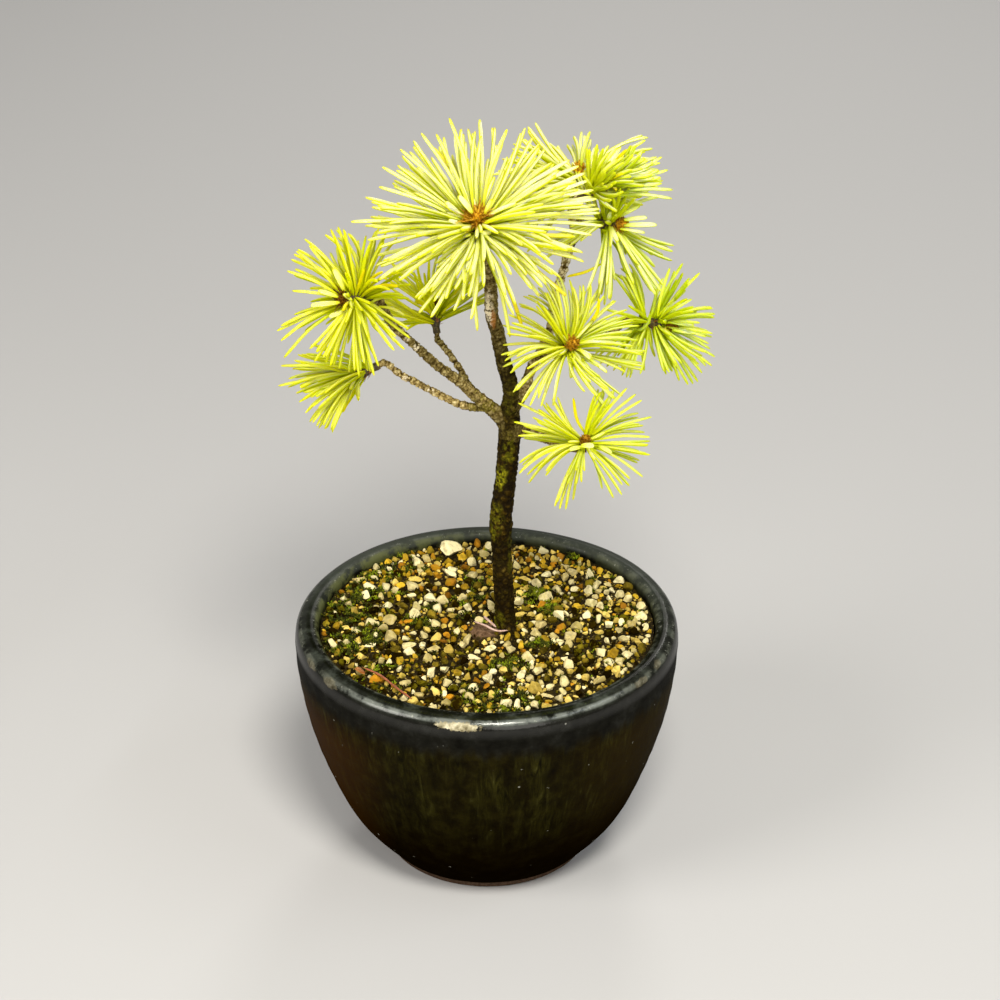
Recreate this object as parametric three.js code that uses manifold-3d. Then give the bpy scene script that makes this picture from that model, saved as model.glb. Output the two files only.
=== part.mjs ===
// Japanese white pine bonsai in a round glazed pot
//
// Units are millimetres and +Z is up. Everything is drawn about the pot's own axis, with the pot's foot on
// z = 0 and -Y towards the front. At the end the whole object is shifted in X and Y, so that the origin is
// at the bottom centre of its bounding box.

import * as THREE from 'three';
import { mergeVertices } from 'three/addons/utils/BufferGeometryUtils.js';
import Module from 'manifold-3d';

const wasm = await Module();
wasm.setup();

// Driving dimensions

const GAP = 0.3; // air left between two pieces that touch on the real object
const ROUND_SIDES = 40; // facets round the pot and the soil

const POT = {
  height: 67,
  rimRadius: 50,
  mouthRadius: 44,
  footRadius: 27.2,
  footInnerRadius: 22,
  footHeight: 2.6,
  recessHeight: 3,
  floorHeight: 9,
  floorRadius: 20,
  drainRadius: 6,
  lipHeight: 5.2,
};

const SCREEN = {
  side: 20,
  thickness: 0.8,
  holes: 3,
  holeSide: 4,
};

const SOIL = {
  height: 64.2,
  wallGap: 0.45,
  screenReach: 15,
  grainReach: 43,
  grainRings: 14,
  grainHeight: 1.3,
  dip: 0.5,
  mound: 1.1,
  seed: 4021,
};

const ROOT_HOLE = { x: 4.4, y: -2.7, radius: 4, bottom: 38, sides: 12 };

const NEEDLE = {
  width: 0.95,
  tipWidth: 0.6,
  bundleSize: 5,
  bundleOpening: 7.5, // degrees between a needle and the middle of its bundle
  turnSpread: 0.9, // radians over which a bundle's turn about its shoot varies
  openingSpread: 20, // degrees over which its angle to the shoot varies
  rootDepth: 0.5, // the bundle's foot starts this far beyond the shoot's middle
  palmReach: 2.4,
  palmRadius: 0.75,
  clearance: 0.14,
  bend: 0.05, // side bend at half length, as a share of the length
  bentShare: 0.25, // share of the bundles whose needles are made in two lengths
  bendShifts: [0.1, 0.18, 0.27, 0.38],
  mergeWithin: 0.03,
  longest: 30,
};

// Turns about the shoot and tilts away from it, in degrees, tried in order until a bundle is clear
const BUNDLE_TURNS = [0, 6, -6, 12, -12, 18, -18, 26, -26, 36, -36];
const BUNDLE_TILTS = [0, -9, 9, -18];

const GOLDEN_ANGLE = 137.508;

// Each spray is a shoot from base to tip with bundles of needles round it. cone holds the angle between
// needle and shoot at the shoot's base and at its tip, in degrees, droop is the tip's sag as a share of
// the needle's length, and spin turns the whole spray about its shoot, in degrees.

const SPRAYS = {
  low_right: {
    base: [23.7, -15.6, 125.6],
    tip: [24.2, -20.0, 129.7],
    bundles: 13, length: 16.1, cone: [106, 41], droop: 0.09,
    stem: 1.0, seed: 4722, spin: 192,
  },
  middle_right: {
    base: [18.8, -6.4, 146.5],
    tip: [20.7, -11.0, 151.4],
    bundles: 17, length: 18.8, cone: [92, 39], droop: 0.06,
    stem: 1.0, seed: 2366, spin: 81,
  },
  crown: {
    base: [-1.7, -7.7, 176.8],
    tip: [-2.1, -12.0, 184.7],
    bundles: 27, length: 27.4, cone: [86, 73], droop: 0.03,
    stem: 1.5, seed: 633, spin: 52,
  },
  right: {
    base: [37.1, 8.4, 148.6],
    tip: [44.9, 4.0, 149.6],
    bundles: 15, length: 15.2, cone: [122, 16], droop: 0.01,
    stem: 1.0, seed: 1875, spin: 272,
  },
  upper_right_front: {
    base: [26.6, 13.9, 172.6],
    tip: [32.2, 10.0, 174.2],
    bundles: 12, length: 17.9, cone: [115, 43], droop: 0.2,
    stem: 0.9, seed: 2293, spin: 188,
  },
  upper_right: {
    base: [23.1, 9.0, 181.7],
    tip: [30.7, 8.0, 186.5],
    bundles: 14, length: 14.4, cone: [55, 15], droop: 0.07,
    stem: 0.9, seed: 2460, spin: 253,
  },
  upper_back: {
    base: [22.7, 25.6, 173.5],
    tip: [23.1, 25.0, 181.4],
    bundles: 18, length: 20.9, cone: [100, 68], droop: 0,
    stem: 1.0, seed: 4744, spin: 277,
  },
  low_left: {
    base: [-27.6, 3.3, 138.4],
    tip: [-33.1, 1.9, 136.3],
    bundles: 11, length: 18.6, cone: [46, 22], droop: 0.01,
    stem: 1.0, seed: 1574, spin: 99,
  },
  left: {
    base: [-28.2, -8.6, 162.6],
    tip: [-33.5, -12.0, 164.5],
    bundles: 18, length: 18.5, cone: [100, 56], droop: 0.06,
    stem: 1.2, seed: 3718, spin: 100,
  },
  back_left: {
    base: [-12.6, 12.5, 144.1],
    tip: [-13.2, 15.0, 149.5],
    bundles: 12, length: 17.6, cone: [78, 32], droop: 0,
    stem: 0.9, seed: 5476, spin: 274,
  },
};

const SHOOT = {
  firstBundle: 1.3,
  lastBundle: 1.7, // counted back from the shoot's tip
  swell: 1.15,
  tipRadius: 0.9,
  sides: 6,
};

const BUD = { radius: 1.15, length: 3.4, sides: 6 };

// Limbs of the tree, each as the points of its centre line and its radius at equal steps along it. A limb
// that carries a spray ends at the base of that spray's shoot.

const LIMBS = [
  {
    path: [
      [4.4, -2.7, 39], [4.4, -2.7, 56], [4.5, -2.7, 64], [4.7, -2.6, 69], [4.2, -2.4, 79],
      [3.8, -2.0, 89.5], [3.7, -1.6, 99.5], [4.4, -1.4, 105], [5.8, -0.7, 120], [5.8, -0.5, 126],
      [6.1, -0.6, 134], [4.9, -0.8, 139.5], [3.6, -1.0, 145], [2.7, -1.4, 150.5], [1.4, -1.8, 155],
      [1.2, -2.2, 161], [0.8, -2.8, 166], [-0.2, -3.9, 172],
    ],
    spray: 'crown',
    radii: [2.4, 3.1, 3.2, 2.9, 2.65, 2.65, 3.0, 2.9, 2.9, 3.0, 2.2, 2.1, 1.9, 1.8, 1.6, 1.5],
    sides: 8,
    steps: 27,
  },
  {
    path: [
      [5.8, -0.4, 127], [8.6, 0.5, 131.6], [11.7, 3.2, 139], [13.4, 4.4, 141.8], [16.1, 7.2, 147.8],
      [16.8, 9.4, 153.8], [18.8, 11.2, 159.8], [21.0, 13.4, 167.3], [22.4, 17.5, 169.2], [23.5, 22.6, 170.2],
    ],
    spray: 'upper_back',
    radii: [1.8, 1.6, 1.4, 1.3, 1.3, 1.25, 1.3, 1.2, 1.0],
    sides: 6,
    steps: 16,
  },
  {
    path: [[20.6, 13.1, 166.4], [21.4, 12.8, 171], [20.8, 10.9, 177]],
    spray: 'upper_right',
    radii: [1.0, 0.95, 0.9],
    sides: 5,
    steps: 7,
  },
  {
    path: [[20.2, 12.8, 165.8], [22.6, 13.8, 169.4]],
    spray: 'upper_right_front',
    radii: [1.1, 1.1, 0.9],
    sides: 5,
    steps: 4,
  },
  {
    path: [[12.8, 4.1, 141], [18, 6, 143.4], [22.2, 7, 144.1], [28.4, 7.2, 144.4], [32.2, 7.2, 146.4]],
    spray: 'right',
    radii: [1.2, 1.1, 1.0, 1.0],
    sides: 6,
    steps: 8,
  },
  {
    path: [[12.8, 4, 141], [15.8, 1.2, 142.8], [18.2, -2.4, 144]],
    spray: 'middle_right',
    radii: [1.2, 1.1, 1.0],
    sides: 5,
    steps: 6,
  },
  {
    path: [[5.4, -0.6, 122], [9.7, -3, 123.4], [14, -6.6, 123.6], [18.6, -10.6, 123.6]],
    spray: 'low_right',
    radii: [1.9, 1.5, 1.1, 1.0],
    sides: 6,
    steps: 8,
  },
  {
    path: [
      [6.0, -0.4, 122.6], [2.2, -0.2, 127.4], [-0.4, 0, 129.8], [-4.6, -0.6, 134.2], [-7.8, -1.4, 137.6],
      [-12, -2.4, 141.4], [-17.1, -3.4, 147.1], [-20.7, -4.2, 151.2], [-23.4, -4.9, 154.8],
    ],
    spray: 'left',
    radii: [2.2, 1.9, 1.5, 1.3, 1.25, 1.3, 1.2],
    sides: 6,
    steps: 15,
  },
  {
    path: [[-3.6, -0.4, 133.2], [-6.2, 2, 137.6], [-8.9, 5.2, 140.4], [-11.2, 8.6, 142]],
    spray: 'back_left',
    radii: [1.0, 0.95, 0.9],
    sides: 6,
    steps: 8,
  },
  {
    path: [
      [0.8, -0.1, 128.8], [-4.1, 0.8, 128.3], [-7.7, 1.6, 129.1], [-11.4, 2.2, 130.8], [-17.2, 3.2, 133.7],
      [-21.7, 4.3, 135.8],
    ],
    spray: 'low_left',
    radii: [1.3, 1.1, 1.05, 1.0],
    sides: 6,
    steps: 11,
  },
];

// Materials

const MATERIALS = {
  glaze: new THREE.MeshStandardMaterial({ color: 0x1c201a, roughness: 0.35, metalness: 0 }),
  screen: new THREE.MeshStandardMaterial({ color: 0x14201a, roughness: 0.6, metalness: 0 }),
  gravel: new THREE.MeshStandardMaterial({ color: 0xa89a6c, roughness: 0.95, metalness: 0 }),
  bark: new THREE.MeshStandardMaterial({ color: 0x4a3d28, roughness: 0.9, metalness: 0 }),
  needle: new THREE.MeshStandardMaterial({ color: 0xc9dc3a, roughness: 0.5, metalness: 0 }),
  bud: new THREE.MeshStandardMaterial({ color: 0xb5691f, roughness: 0.8, metalness: 0 }),
};

// Helpers for closed geometries

function signedVolume(position, triangles) {
  const a = new THREE.Vector3();
  const b = new THREE.Vector3();
  const c = new THREE.Vector3();
  let volume = 0;
  for (let i = 0; i < triangles.length; i += 3) {
    a.fromBufferAttribute(position, triangles[i]);
    b.fromBufferAttribute(position, triangles[i + 1]);
    c.fromBufferAttribute(position, triangles[i + 2]);
    volume += a.dot(b.cross(c)) / 6;
  }
  return volume;
}

// Shared vertices are merged, empty triangles dropped and the faces turned outwards
function closed(geometry) {
  const bare = geometry.clone();
  bare.deleteAttribute('normal');
  bare.deleteAttribute('uv');
  const welded = mergeVertices(bare, 1e-5);
  const kept = [];
  const index = welded.index.array;
  for (let i = 0; i < index.length; i += 3) {
    const [a, b, c] = [index[i], index[i + 1], index[i + 2]];
    if (a !== b && b !== c && c !== a) kept.push(a, b, c);
  }
  if (signedVolume(welded.attributes.position, kept) < 0) kept.reverse();
  const result = new THREE.BufferGeometry();
  result.setAttribute('position', welded.attributes.position);
  result.setIndex(kept);
  return result;
}

function toSolid(geometry) {
  const tidy = closed(geometry);
  const mesh = new wasm.Mesh({
    numProp: 3,
    vertProperties: new Float32Array(tidy.attributes.position.array),
    triVerts: new Uint32Array(tidy.index.array),
  });
  return new wasm.Manifold(mesh);
}

function toGeometry(solid) {
  const mesh = solid.getMesh();
  const geometry = new THREE.BufferGeometry();
  geometry.setAttribute('position', new THREE.BufferAttribute(mesh.vertProperties, 3));
  geometry.setIndex(new THREE.BufferAttribute(mesh.triVerts, 1));
  return closed(geometry);
}

function join(solids) {
  return solids.reduce((whole, next) => whole.add(next));
}

function vector(list) {
  return new THREE.Vector3(list[0], list[1], list[2]);
}

function radians(degrees) {
  return THREE.MathUtils.degToRad(degrees);
}

// A repeatable stream of numbers between 0 and 1
function randomStream(seed) {
  let state = seed * 7919;
  return () => {
    state = (state * 48271) % 2147483647;
    return state / 2147483647;
  };
}

// A lathe about the Z axis
function turned(points, sides) {
  const profile = points.map(([radius, height]) => new THREE.Vector2(radius, height));
  return new THREE.LatheGeometry(profile, sides).rotateX(Math.PI / 2);
}

// A many-sided bar whose rings lie where ring(k) puts them, with k from 0 to steps. ring gives the ring's
// centre, two directions square to the bar, and the radius at each corner.
function ringedBar(sides, steps, ring) {
  const outline = new THREE.Shape();
  for (let corner = 0; corner < sides; corner += 1) {
    const angle = (2 * Math.PI * corner) / sides;
    if (corner === 0) outline.moveTo(1, 0);
    else outline.lineTo(Math.cos(angle), Math.sin(angle));
  }
  const bar = new THREE.ExtrudeGeometry(outline, { depth: 1, steps, bevelEnabled: false });
  const rings = Array.from({ length: steps + 1 }, (_, k) => ring(k));
  const position = bar.attributes.position;
  for (let i = 0; i < position.count; i += 1) {
    const angle = Math.atan2(position.getY(i), position.getX(i));
    const corner = (Math.round((angle * sides) / (2 * Math.PI)) + sides) % sides;
    const { centre, across, up, radius } = rings[Math.round(position.getZ(i) * steps)];
    const reach = radius(corner);
    const point = centre.clone();
    point.addScaledVector(across, reach * Math.cos(angle));
    point.addScaledVector(up, reach * Math.sin(angle));
    position.setXYZ(i, point.x, point.y, point.z);
  }
  return bar;
}

// Two directions square to an axis and to each other
function squareTo(axis) {
  const steep = Math.abs(axis.z) > 0.97;
  const reference = steep ? new THREE.Vector3(0, -1, 0) : new THREE.Vector3(0, 0, 1);
  const across = reference.cross(axis).normalize();
  const up = axis.clone().cross(across);
  return { across, up };
}

function alongList(values, share) {
  const place = share * (values.length - 1);
  const low = Math.min(Math.floor(place), values.length - 2);
  return values[low] + (values[low + 1] - values[low]) * (place - low);
}

// The pot: a thick round bowl with a low foot ring, a rounded lip and a drain hole in its floor

function spline(points, samples) {
  const curve = new THREE.SplineCurve(points.map(([radius, height]) => new THREE.Vector2(radius, height)));
  return curve.getPoints(samples).map((point) => [point.x, point.y]);
}

function potInside() {
  return spline([
    [POT.mouthRadius, POT.height - 1.4],
    [POT.mouthRadius - 0.5, POT.height * 0.8],
    [POT.mouthRadius - 2.9, POT.height * 0.6],
    [POT.mouthRadius - 7.2, POT.height * 0.4],
    [POT.mouthRadius - 14, POT.height * 0.23],
    [POT.floorRadius, POT.floorHeight],
  ], 5);
}

function makePot() {
  const outside = spline([
    [POT.footRadius + 1.4, POT.footHeight],
    [POT.rimRadius - 13, POT.height * 0.2],
    [POT.rimRadius - 7.2, POT.height * 0.4],
    [POT.rimRadius - 3, POT.height * 0.6],
    [POT.rimRadius - 0.6, POT.height * 0.8],
    [POT.rimRadius, POT.height - POT.lipHeight],
  ], 5);
  const lip = [
    [POT.rimRadius - 0.2, POT.height - 2.4],
    [POT.rimRadius - 1.3, POT.height - 0.7],
    [POT.rimRadius - 3.3, POT.height],
    [POT.mouthRadius + 0.9, POT.height - 0.3],
  ];
  const profile = [
    [POT.footRadius, 0],
    [POT.footRadius + 0.3, POT.footHeight],
    ...outside,
    ...lip,
    ...potInside(),
    [POT.drainRadius, POT.floorHeight],
    [POT.drainRadius, POT.recessHeight],
    [POT.footInnerRadius - 0.6, POT.recessHeight],
    [POT.footInnerRadius, 0],
    [POT.footRadius, 0],
  ];
  return closed(turned(profile, ROUND_SIDES));
}

// The screen over the drain hole: a square sheet with rows of square holes

function makeScreen() {
  const height = POT.floorHeight + GAP + SCREEN.thickness / 2;
  const sheet = new THREE.BoxGeometry(SCREEN.side, SCREEN.side, SCREEN.thickness).translate(0, 0, height);
  const pitch = SCREEN.side / (SCREEN.holes + 0.5);
  let screen = toSolid(sheet);
  for (let row = 0; row < SCREEN.holes; row += 1) {
    for (let column = 0; column < SCREEN.holes; column += 1) {
      const x = (column - (SCREEN.holes - 1) / 2) * pitch;
      const y = (row - (SCREEN.holes - 1) / 2) * pitch;
      const hole = new THREE.BoxGeometry(SCREEN.holeSide, SCREEN.holeSide, 3 * SCREEN.thickness);
      screen = screen.subtract(toSolid(hole.translate(x, y, height)));
    }
  }
  return toGeometry(screen);
}

// The soil: it fills the pot, and its top is a close layer of gravel. The top's points lie in rings on a
// six-sided net, where every third point is a grain's crown and the six round it are the gaps between
// grains.

const NET_STEPS = [[1, 0], [0, 1], [-1, 1], [-1, 0], [0, -1], [1, -1]];

function netIndex(ring, place) {
  return ring === 0 ? 0 : 1 + 3 * ring * (ring - 1) + (place % (6 * ring));
}

function gravelTop() {
  const random = randomStream(SOIL.seed);
  const pitch = SOIL.grainReach / SOIL.grainRings;
  const vertices = [];
  const triangles = [];
  for (let ring = 0; ring <= SOIL.grainRings; ring += 1) {
    const count = Math.max(1, 6 * ring);
    for (let place = 0; place < count; place += 1) {
      const sector = ring === 0 ? 0 : Math.floor(place / ring);
      const step = ring === 0 ? 0 : place % ring;
      const side = NET_STEPS[(sector + 2) % 6];
      const q = ring * NET_STEPS[sector][0] + step * side[0];
      const r = ring * NET_STEPS[sector][1] + step * side[1];
      const crown = (((q - r) % 3) + 3) % 3 === 0;
      const edge = ring === SOIL.grainRings;
      const shake = edge ? 0 : pitch * (crown ? 0.5 : 0.3);
      const angle = (2 * Math.PI * place) / count;
      const x = ring * pitch * Math.cos(angle) + (random() - 0.5) * shake;
      const y = ring * pitch * Math.sin(angle) + (random() - 0.5) * shake;
      const rise = crown ? SOIL.grainHeight * (0.55 + 0.6 * random()) : SOIL.dip * (random() - 0.5);
      const share = Math.hypot(x, y) / SOIL.grainReach;
      const mound = SOIL.mound * Math.max(0, 1 - share * share);
      vertices.push(x, y, SOIL.height + SOIL.dip + (edge ? 0 : rise + mound));
    }
  }
  for (let ring = 1; ring <= SOIL.grainRings; ring += 1) {
    for (let sector = 0; sector < 6; sector += 1) {
      for (let step = 0; step < ring; step += 1) {
        const outer = netIndex(ring, sector * ring + step);
        const next = netIndex(ring, sector * ring + step + 1);
        const inner = netIndex(ring - 1, sector * (ring - 1) + step);
        triangles.push(outer, next, inner);
        if (step < ring - 1) {
          triangles.push(next, netIndex(ring - 1, sector * (ring - 1) + step + 1), inner);
        }
      }
    }
  }
  // The layer's side and its flat underside, which lies inside the soil
  const outerCount = 6 * SOIL.grainRings;
  const below = vertices.length / 3;
  for (let place = 0; place < outerCount; place += 1) {
    const angle = (2 * Math.PI * place) / outerCount;
    const reach = SOIL.grainReach;
    vertices.push(reach * Math.cos(angle), reach * Math.sin(angle), SOIL.height - 1);
  }
  vertices.push(0, 0, SOIL.height - 1);
  for (let place = 0; place < outerCount; place += 1) {
    const top = netIndex(SOIL.grainRings, place);
    const topNext = netIndex(SOIL.grainRings, place + 1);
    const low = below + place;
    const lowNext = below + ((place + 1) % outerCount);
    triangles.push(top, low, topNext);
    triangles.push(topNext, low, lowNext);
    triangles.push(low, below + outerCount, lowNext);
  }
  const geometry = new THREE.BufferGeometry();
  geometry.setAttribute('position', new THREE.Float32BufferAttribute(vertices, 3));
  geometry.setIndex(triangles);
  return geometry;
}

function makeSoil() {
  const wall = potInside()
    .filter(([, height]) => height < SOIL.height - 2)
    .map(([radius, height]) => [radius - SOIL.wallGap, height + GAP])
    .reverse();
  const overScreen = POT.floorHeight + 2 * GAP + SCREEN.thickness;
  const profile = [
    [0, overScreen],
    [SOIL.screenReach, overScreen],
    [SOIL.screenReach, POT.floorHeight + GAP],
    ...wall,
    [POT.mouthRadius - SOIL.wallGap, SOIL.height],
    [0, SOIL.height],
  ];
  const bulk = toSolid(turned(profile, ROUND_SIDES));
  const depth = POT.height + 5 - ROOT_HOLE.bottom;
  const hole = new THREE.CylinderGeometry(ROOT_HOLE.radius, ROOT_HOLE.radius, depth, ROOT_HOLE.sides)
    .rotateX(Math.PI / 2)
    .translate(ROOT_HOLE.x, ROOT_HOLE.y, ROOT_HOLE.bottom + depth / 2);
  return toGeometry(bulk.add(toSolid(gravelTop())).subtract(toSolid(hole)));
}

// The wood: root stub, trunk and limbs grown as one piece

function shootAxis(spray) {
  return vector(spray.tip).sub(vector(spray.base)).normalize();
}

function limbCurve(limb) {
  const points = limb.path.map(vector);
  const spray = SPRAYS[limb.spray];
  const axis = shootAxis(spray);
  const end = vector(spray.base).addScaledVector(axis, -GAP);
  points.push(end.clone().addScaledVector(axis, -2), end);
  return new THREE.CatmullRomCurve3(points, false, 'centripetal');
}

function makeLimb(limb, order) {
  const random = randomStream(311 + order);
  const curve = limbCurve(limb);
  const frames = curve.computeFrenetFrames(limb.steps, false);
  return ringedBar(limb.sides, limb.steps, (k) => {
    const swell = k === limb.steps ? 1 : 0.93 + 0.14 * random();
    const knobs = Array.from({ length: limb.sides }, () => 0.95 + 0.1 * random());
    const radius = alongList(limb.radii, k / limb.steps) * swell;
    return {
      centre: curve.getPointAt(k / limb.steps),
      across: frames.normals[k],
      up: frames.binormals[k],
      radius: (corner) => radius * knobs[corner],
    };
  });
}

function makeWood() {
  return toGeometry(join(LIMBS.map((limb, order) => toSolid(makeLimb(limb, order)))));
}

// The needles. They grow in bundles of five. A bundle is one closed body: a narrow foot that starts inside
// the shoot and widens to a small palm, from which the needles rise as three-sided bars. A capsule round a
// needle's centre line is enough to tell whether it would meet another piece.

function shootCapsules(spray, name) {
  const axis = shootAxis(spray);
  const budTop = budFoot(spray).addScaledVector(axis, BUD.length * 0.7);
  return [
    { from: vector(spray.base), to: vector(spray.tip), radius: spray.stem * SHOOT.swell, owner: name },
    { from: budFoot(spray), to: budTop, radius: BUD.radius, owner: `${name} bud` },
  ];
}

function limbCapsules(limb) {
  const curve = limbCurve(limb);
  const capsules = [];
  for (let k = 0; k < limb.steps; k += 1) {
    const radius = 1.1 * Math.max(
      alongList(limb.radii, k / limb.steps),
      alongList(limb.radii, (k + 1) / limb.steps),
    );
    const from = curve.getPointAt(k / limb.steps);
    const to = curve.getPointAt((k + 1) / limb.steps);
    capsules.push({ from, to, radius, owner: 'wood' });
  }
  return capsules;
}

function needleCapsules(points, owner) {
  const capsules = [];
  for (let k = 1; k < points.length; k += 1) {
    capsules.push({ from: points[k - 1], to: points[k], radius: NEEDLE.width * 0.55, owner });
  }
  return capsules;
}

// Least distance between two straight pieces
function segmentDistance(p1, q1, p2, q2) {
  const d1 = q1.clone().sub(p1);
  const d2 = q2.clone().sub(p2);
  const between = p1.clone().sub(p2);
  const a = d1.lengthSq();
  const e = d2.lengthSq();
  const b = d1.dot(d2);
  const c = d1.dot(between);
  const f = d2.dot(between);
  const spread = a * e - b * b;
  let s = spread > 1e-9 ? THREE.MathUtils.clamp((b * f - c * e) / spread, 0, 1) : 0;
  const t = THREE.MathUtils.clamp((b * s + f) / e, 0, 1);
  s = THREE.MathUtils.clamp((b * t - c) / a, 0, 1);
  return p1.clone().addScaledVector(d1, s).distanceTo(p2.clone().addScaledVector(d2, t));
}

function isClear(points, capsules, clearance) {
  return capsules.every((capsule) => {
    const least = NEEDLE.width * 0.55 + capsule.radius + clearance;
    for (let k = 1; k < points.length; k += 1) {
      const gap = segmentDistance(points[k - 1], points[k], capsule.from, capsule.to);
      if (gap < least) return false;
    }
    return true;
  });
}

// Every bundle of a spray, as the seeded rule draws it
function sprayBundles(spray) {
  const random = randomStream(spray.seed);
  const base = vector(spray.base);
  const axis = shootAxis(spray);
  const shootLength = base.distanceTo(vector(spray.tip));
  const spread = shootLength - SHOOT.firstBundle - SHOOT.lastBundle;
  const { across, up } = squareTo(axis);
  return Array.from({ length: spray.bundles }, (_, order) => {
    const share = (order + 0.5) / spray.bundles;
    const angle = radians(spray.spin + order * GOLDEN_ANGLE) + (random() - 0.5) * NEEDLE.turnSpread;
    const opening = spray.cone[0] + (spray.cone[1] - spray.cone[0]) * share ** 1.5;
    const cone = radians(opening + (random() - 0.5) * NEEDLE.openingSpread);
    const outward = across.clone().multiplyScalar(Math.cos(angle)).addScaledVector(up, Math.sin(angle));
    const bundle = {
      axis,
      root: base.clone().addScaledVector(axis, SHOOT.firstBundle + spread * share),
      middle: axis.clone().multiplyScalar(Math.cos(cone)).addScaledVector(outward, Math.sin(cone)),
      phase: random() * 2 * Math.PI,
      bendAngle: random() * 2 * Math.PI,
      bend: NEEDLE.bend * (0.3 + random()),
      bent: random() < NEEDLE.bentShare,
      droop: spray.droop,
      needles: [],
    };
    const bundleLength = spray.length * (0.9 + 0.14 * random());
    for (let member = 0; member < NEEDLE.bundleSize; member += 1) {
      bundle.needles.push({
        angle: (member * 2 * Math.PI) / NEEDLE.bundleSize,
        opening: radians(NEEDLE.bundleOpening * (0.55 + 0.9 * random())),
        length: bundleLength * (0.93 + 0.1 * random()),
      });
    }
    return bundle;
  });
}

// The bundle after a turn about its shoot and a tilt away from it: its foot, its palm and the centre lines
// of its needles
function placeBundle(bundle, turn, tilt) {
  const hinge = bundle.axis.clone().cross(bundle.middle).normalize();
  const middle = bundle.middle.clone().applyAxisAngle(hinge, radians(tilt));
  middle.applyAxisAngle(bundle.axis, radians(turn));
  const { across, up } = squareTo(middle);
  const round = (angle) => {
    return across.clone().multiplyScalar(Math.cos(angle)).addScaledVector(up, Math.sin(angle));
  };
  const palm = bundle.root.clone().addScaledVector(middle, NEEDLE.palmReach);
  const bend = round(bundle.bendAngle).multiplyScalar(bundle.bend);
  const needles = bundle.needles.map((needle) => {
    const away = round(bundle.phase + needle.angle);
    const direction = middle.clone().multiplyScalar(Math.cos(needle.opening));
    direction.addScaledVector(away, Math.sin(needle.opening));
    const start = palm.clone().addScaledVector(away, NEEDLE.palmRadius * 0.55);
    const length = needle.length - NEEDLE.palmReach;
    const tip = start.clone().addScaledVector(direction, length).addScaledVector(bend, -0.3 * length);
    tip.z -= bundle.droop * length;
    const points = [start, tip];
    if (bundle.bent) {
      const half = start.clone().addScaledVector(direction, length / 2).addScaledVector(bend, length);
      half.z -= (bundle.droop * length) / 4;
      points.splice(1, 0, half);
    }
    return { points, away };
  });
  return { root: bundle.root, middle, palm, round, phase: bundle.phase, needles };
}

// A needle that meets another piece is bent from its middle, first by a little and then by more
function bendClear(needle, others) {
  const [start, tip] = [needle.points[0], needle.points[needle.points.length - 1]];
  const reach = tip.clone().sub(start);
  const { across, up } = squareTo(reach.clone().normalize());
  for (const shift of NEEDLE.bendShifts) {
    for (let place = 0; place < 8; place += 1) {
      const angle = (place * Math.PI) / 4;
      const move = across.clone().multiplyScalar(Math.cos(angle)).addScaledVector(up, Math.sin(angle));
      move.multiplyScalar(shift * reach.length());
      const half = start.clone().lerp(tip, 0.5).addScaledVector(move, 0.25);
      const points = [start, half, tip.clone().add(move)];
      if (isClear(points, others, NEEDLE.clearance)) return { points, away: needle.away };
    }
  }
  return null;
}

// The first turn and tilt that leaves the whole bundle clear, or else the one that leaves most of it clear,
// with its other needles bent clear
function settleBundle(bundle, others, own) {
  let best = null;
  for (const tilt of BUNDLE_TILTS) {
    for (const turn of BUNDLE_TURNS) {
      const placed = placeBundle(bundle, turn, tilt);
      const free = placed.needles.filter(({ points }) => isClear(points, others, NEEDLE.clearance)).length;
      const apart = placed.needles.filter(({ points }) => isClear(points, own, 0)).length;
      const score = 3 * free + apart;
      if (!best || score > best.score) best = { score, placed };
      if (score === 4 * bundle.needles.length) return placed;
    }
  }
  const { placed } = best;
  placed.needles = placed.needles
    .map((needle) => (isClear(needle.points, others, NEEDLE.clearance) ? needle : bendClear(needle, others)))
    .filter((needle) => needle);
  return placed;
}

// The bundle's closed body. Each needle stands on its own sector of the palm, so neighbours share an edge.
function bundleGeometry(bundle) {
  const { root, middle, palm, round, phase, needles } = bundle;
  const count = needles.length;
  const vertices = [root.clone().addScaledVector(middle, -NEEDLE.rootDepth), palm];
  const triangles = [];
  for (let place = 0; place < count; place += 1) {
    const angle = phase + (2 * Math.PI * (place - 0.5)) / count;
    vertices.push(palm.clone().addScaledVector(round(angle), NEEDLE.palmRadius));
  }
  needles.forEach(({ points }, place) => {
    const first = 2 + place;
    const next = 2 + ((place + 1) % count);
    triangles.push(0, next, first);
    let ring = [1, first, next];
    const line = points[points.length - 1].clone().sub(points[0]).normalize();
    const facing = round(phase + (2 * Math.PI * place) / count);
    facing.addScaledVector(line, -facing.dot(line)).normalize();
    const sideways = line.clone().cross(facing);
    for (let k = 1; k < points.length; k += 1) {
      const radius = (k === points.length - 1 ? NEEDLE.tipWidth : NEEDLE.width) / Math.sqrt(3);
      const start = vertices.length;
      for (let corner = 0; corner < 3; corner += 1) {
        const angle = Math.PI + (2 * Math.PI * corner) / 3;
        const point = points[k].clone().addScaledVector(facing, radius * Math.cos(angle));
        vertices.push(point.addScaledVector(sideways, radius * Math.sin(angle)));
      }
      for (let corner = 0; corner < 3; corner += 1) {
        const after = (corner + 1) % 3;
        triangles.push(ring[corner], ring[after], start + after);
        triangles.push(ring[corner], start + after, start + corner);
      }
      ring = [start, start + 1, start + 2];
    }
    triangles.push(...ring);
  });
  const geometry = new THREE.BufferGeometry();
  const numbers = vertices.flatMap((point) => point.toArray());
  geometry.setAttribute('position', new THREE.Float32BufferAttribute(numbers, 3));
  geometry.setIndex(triangles);
  return geometry;
}

function shootRadius(spray, share) {
  return alongList([spray.stem, spray.stem * SHOOT.swell, SHOOT.tipRadius], share);
}

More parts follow.
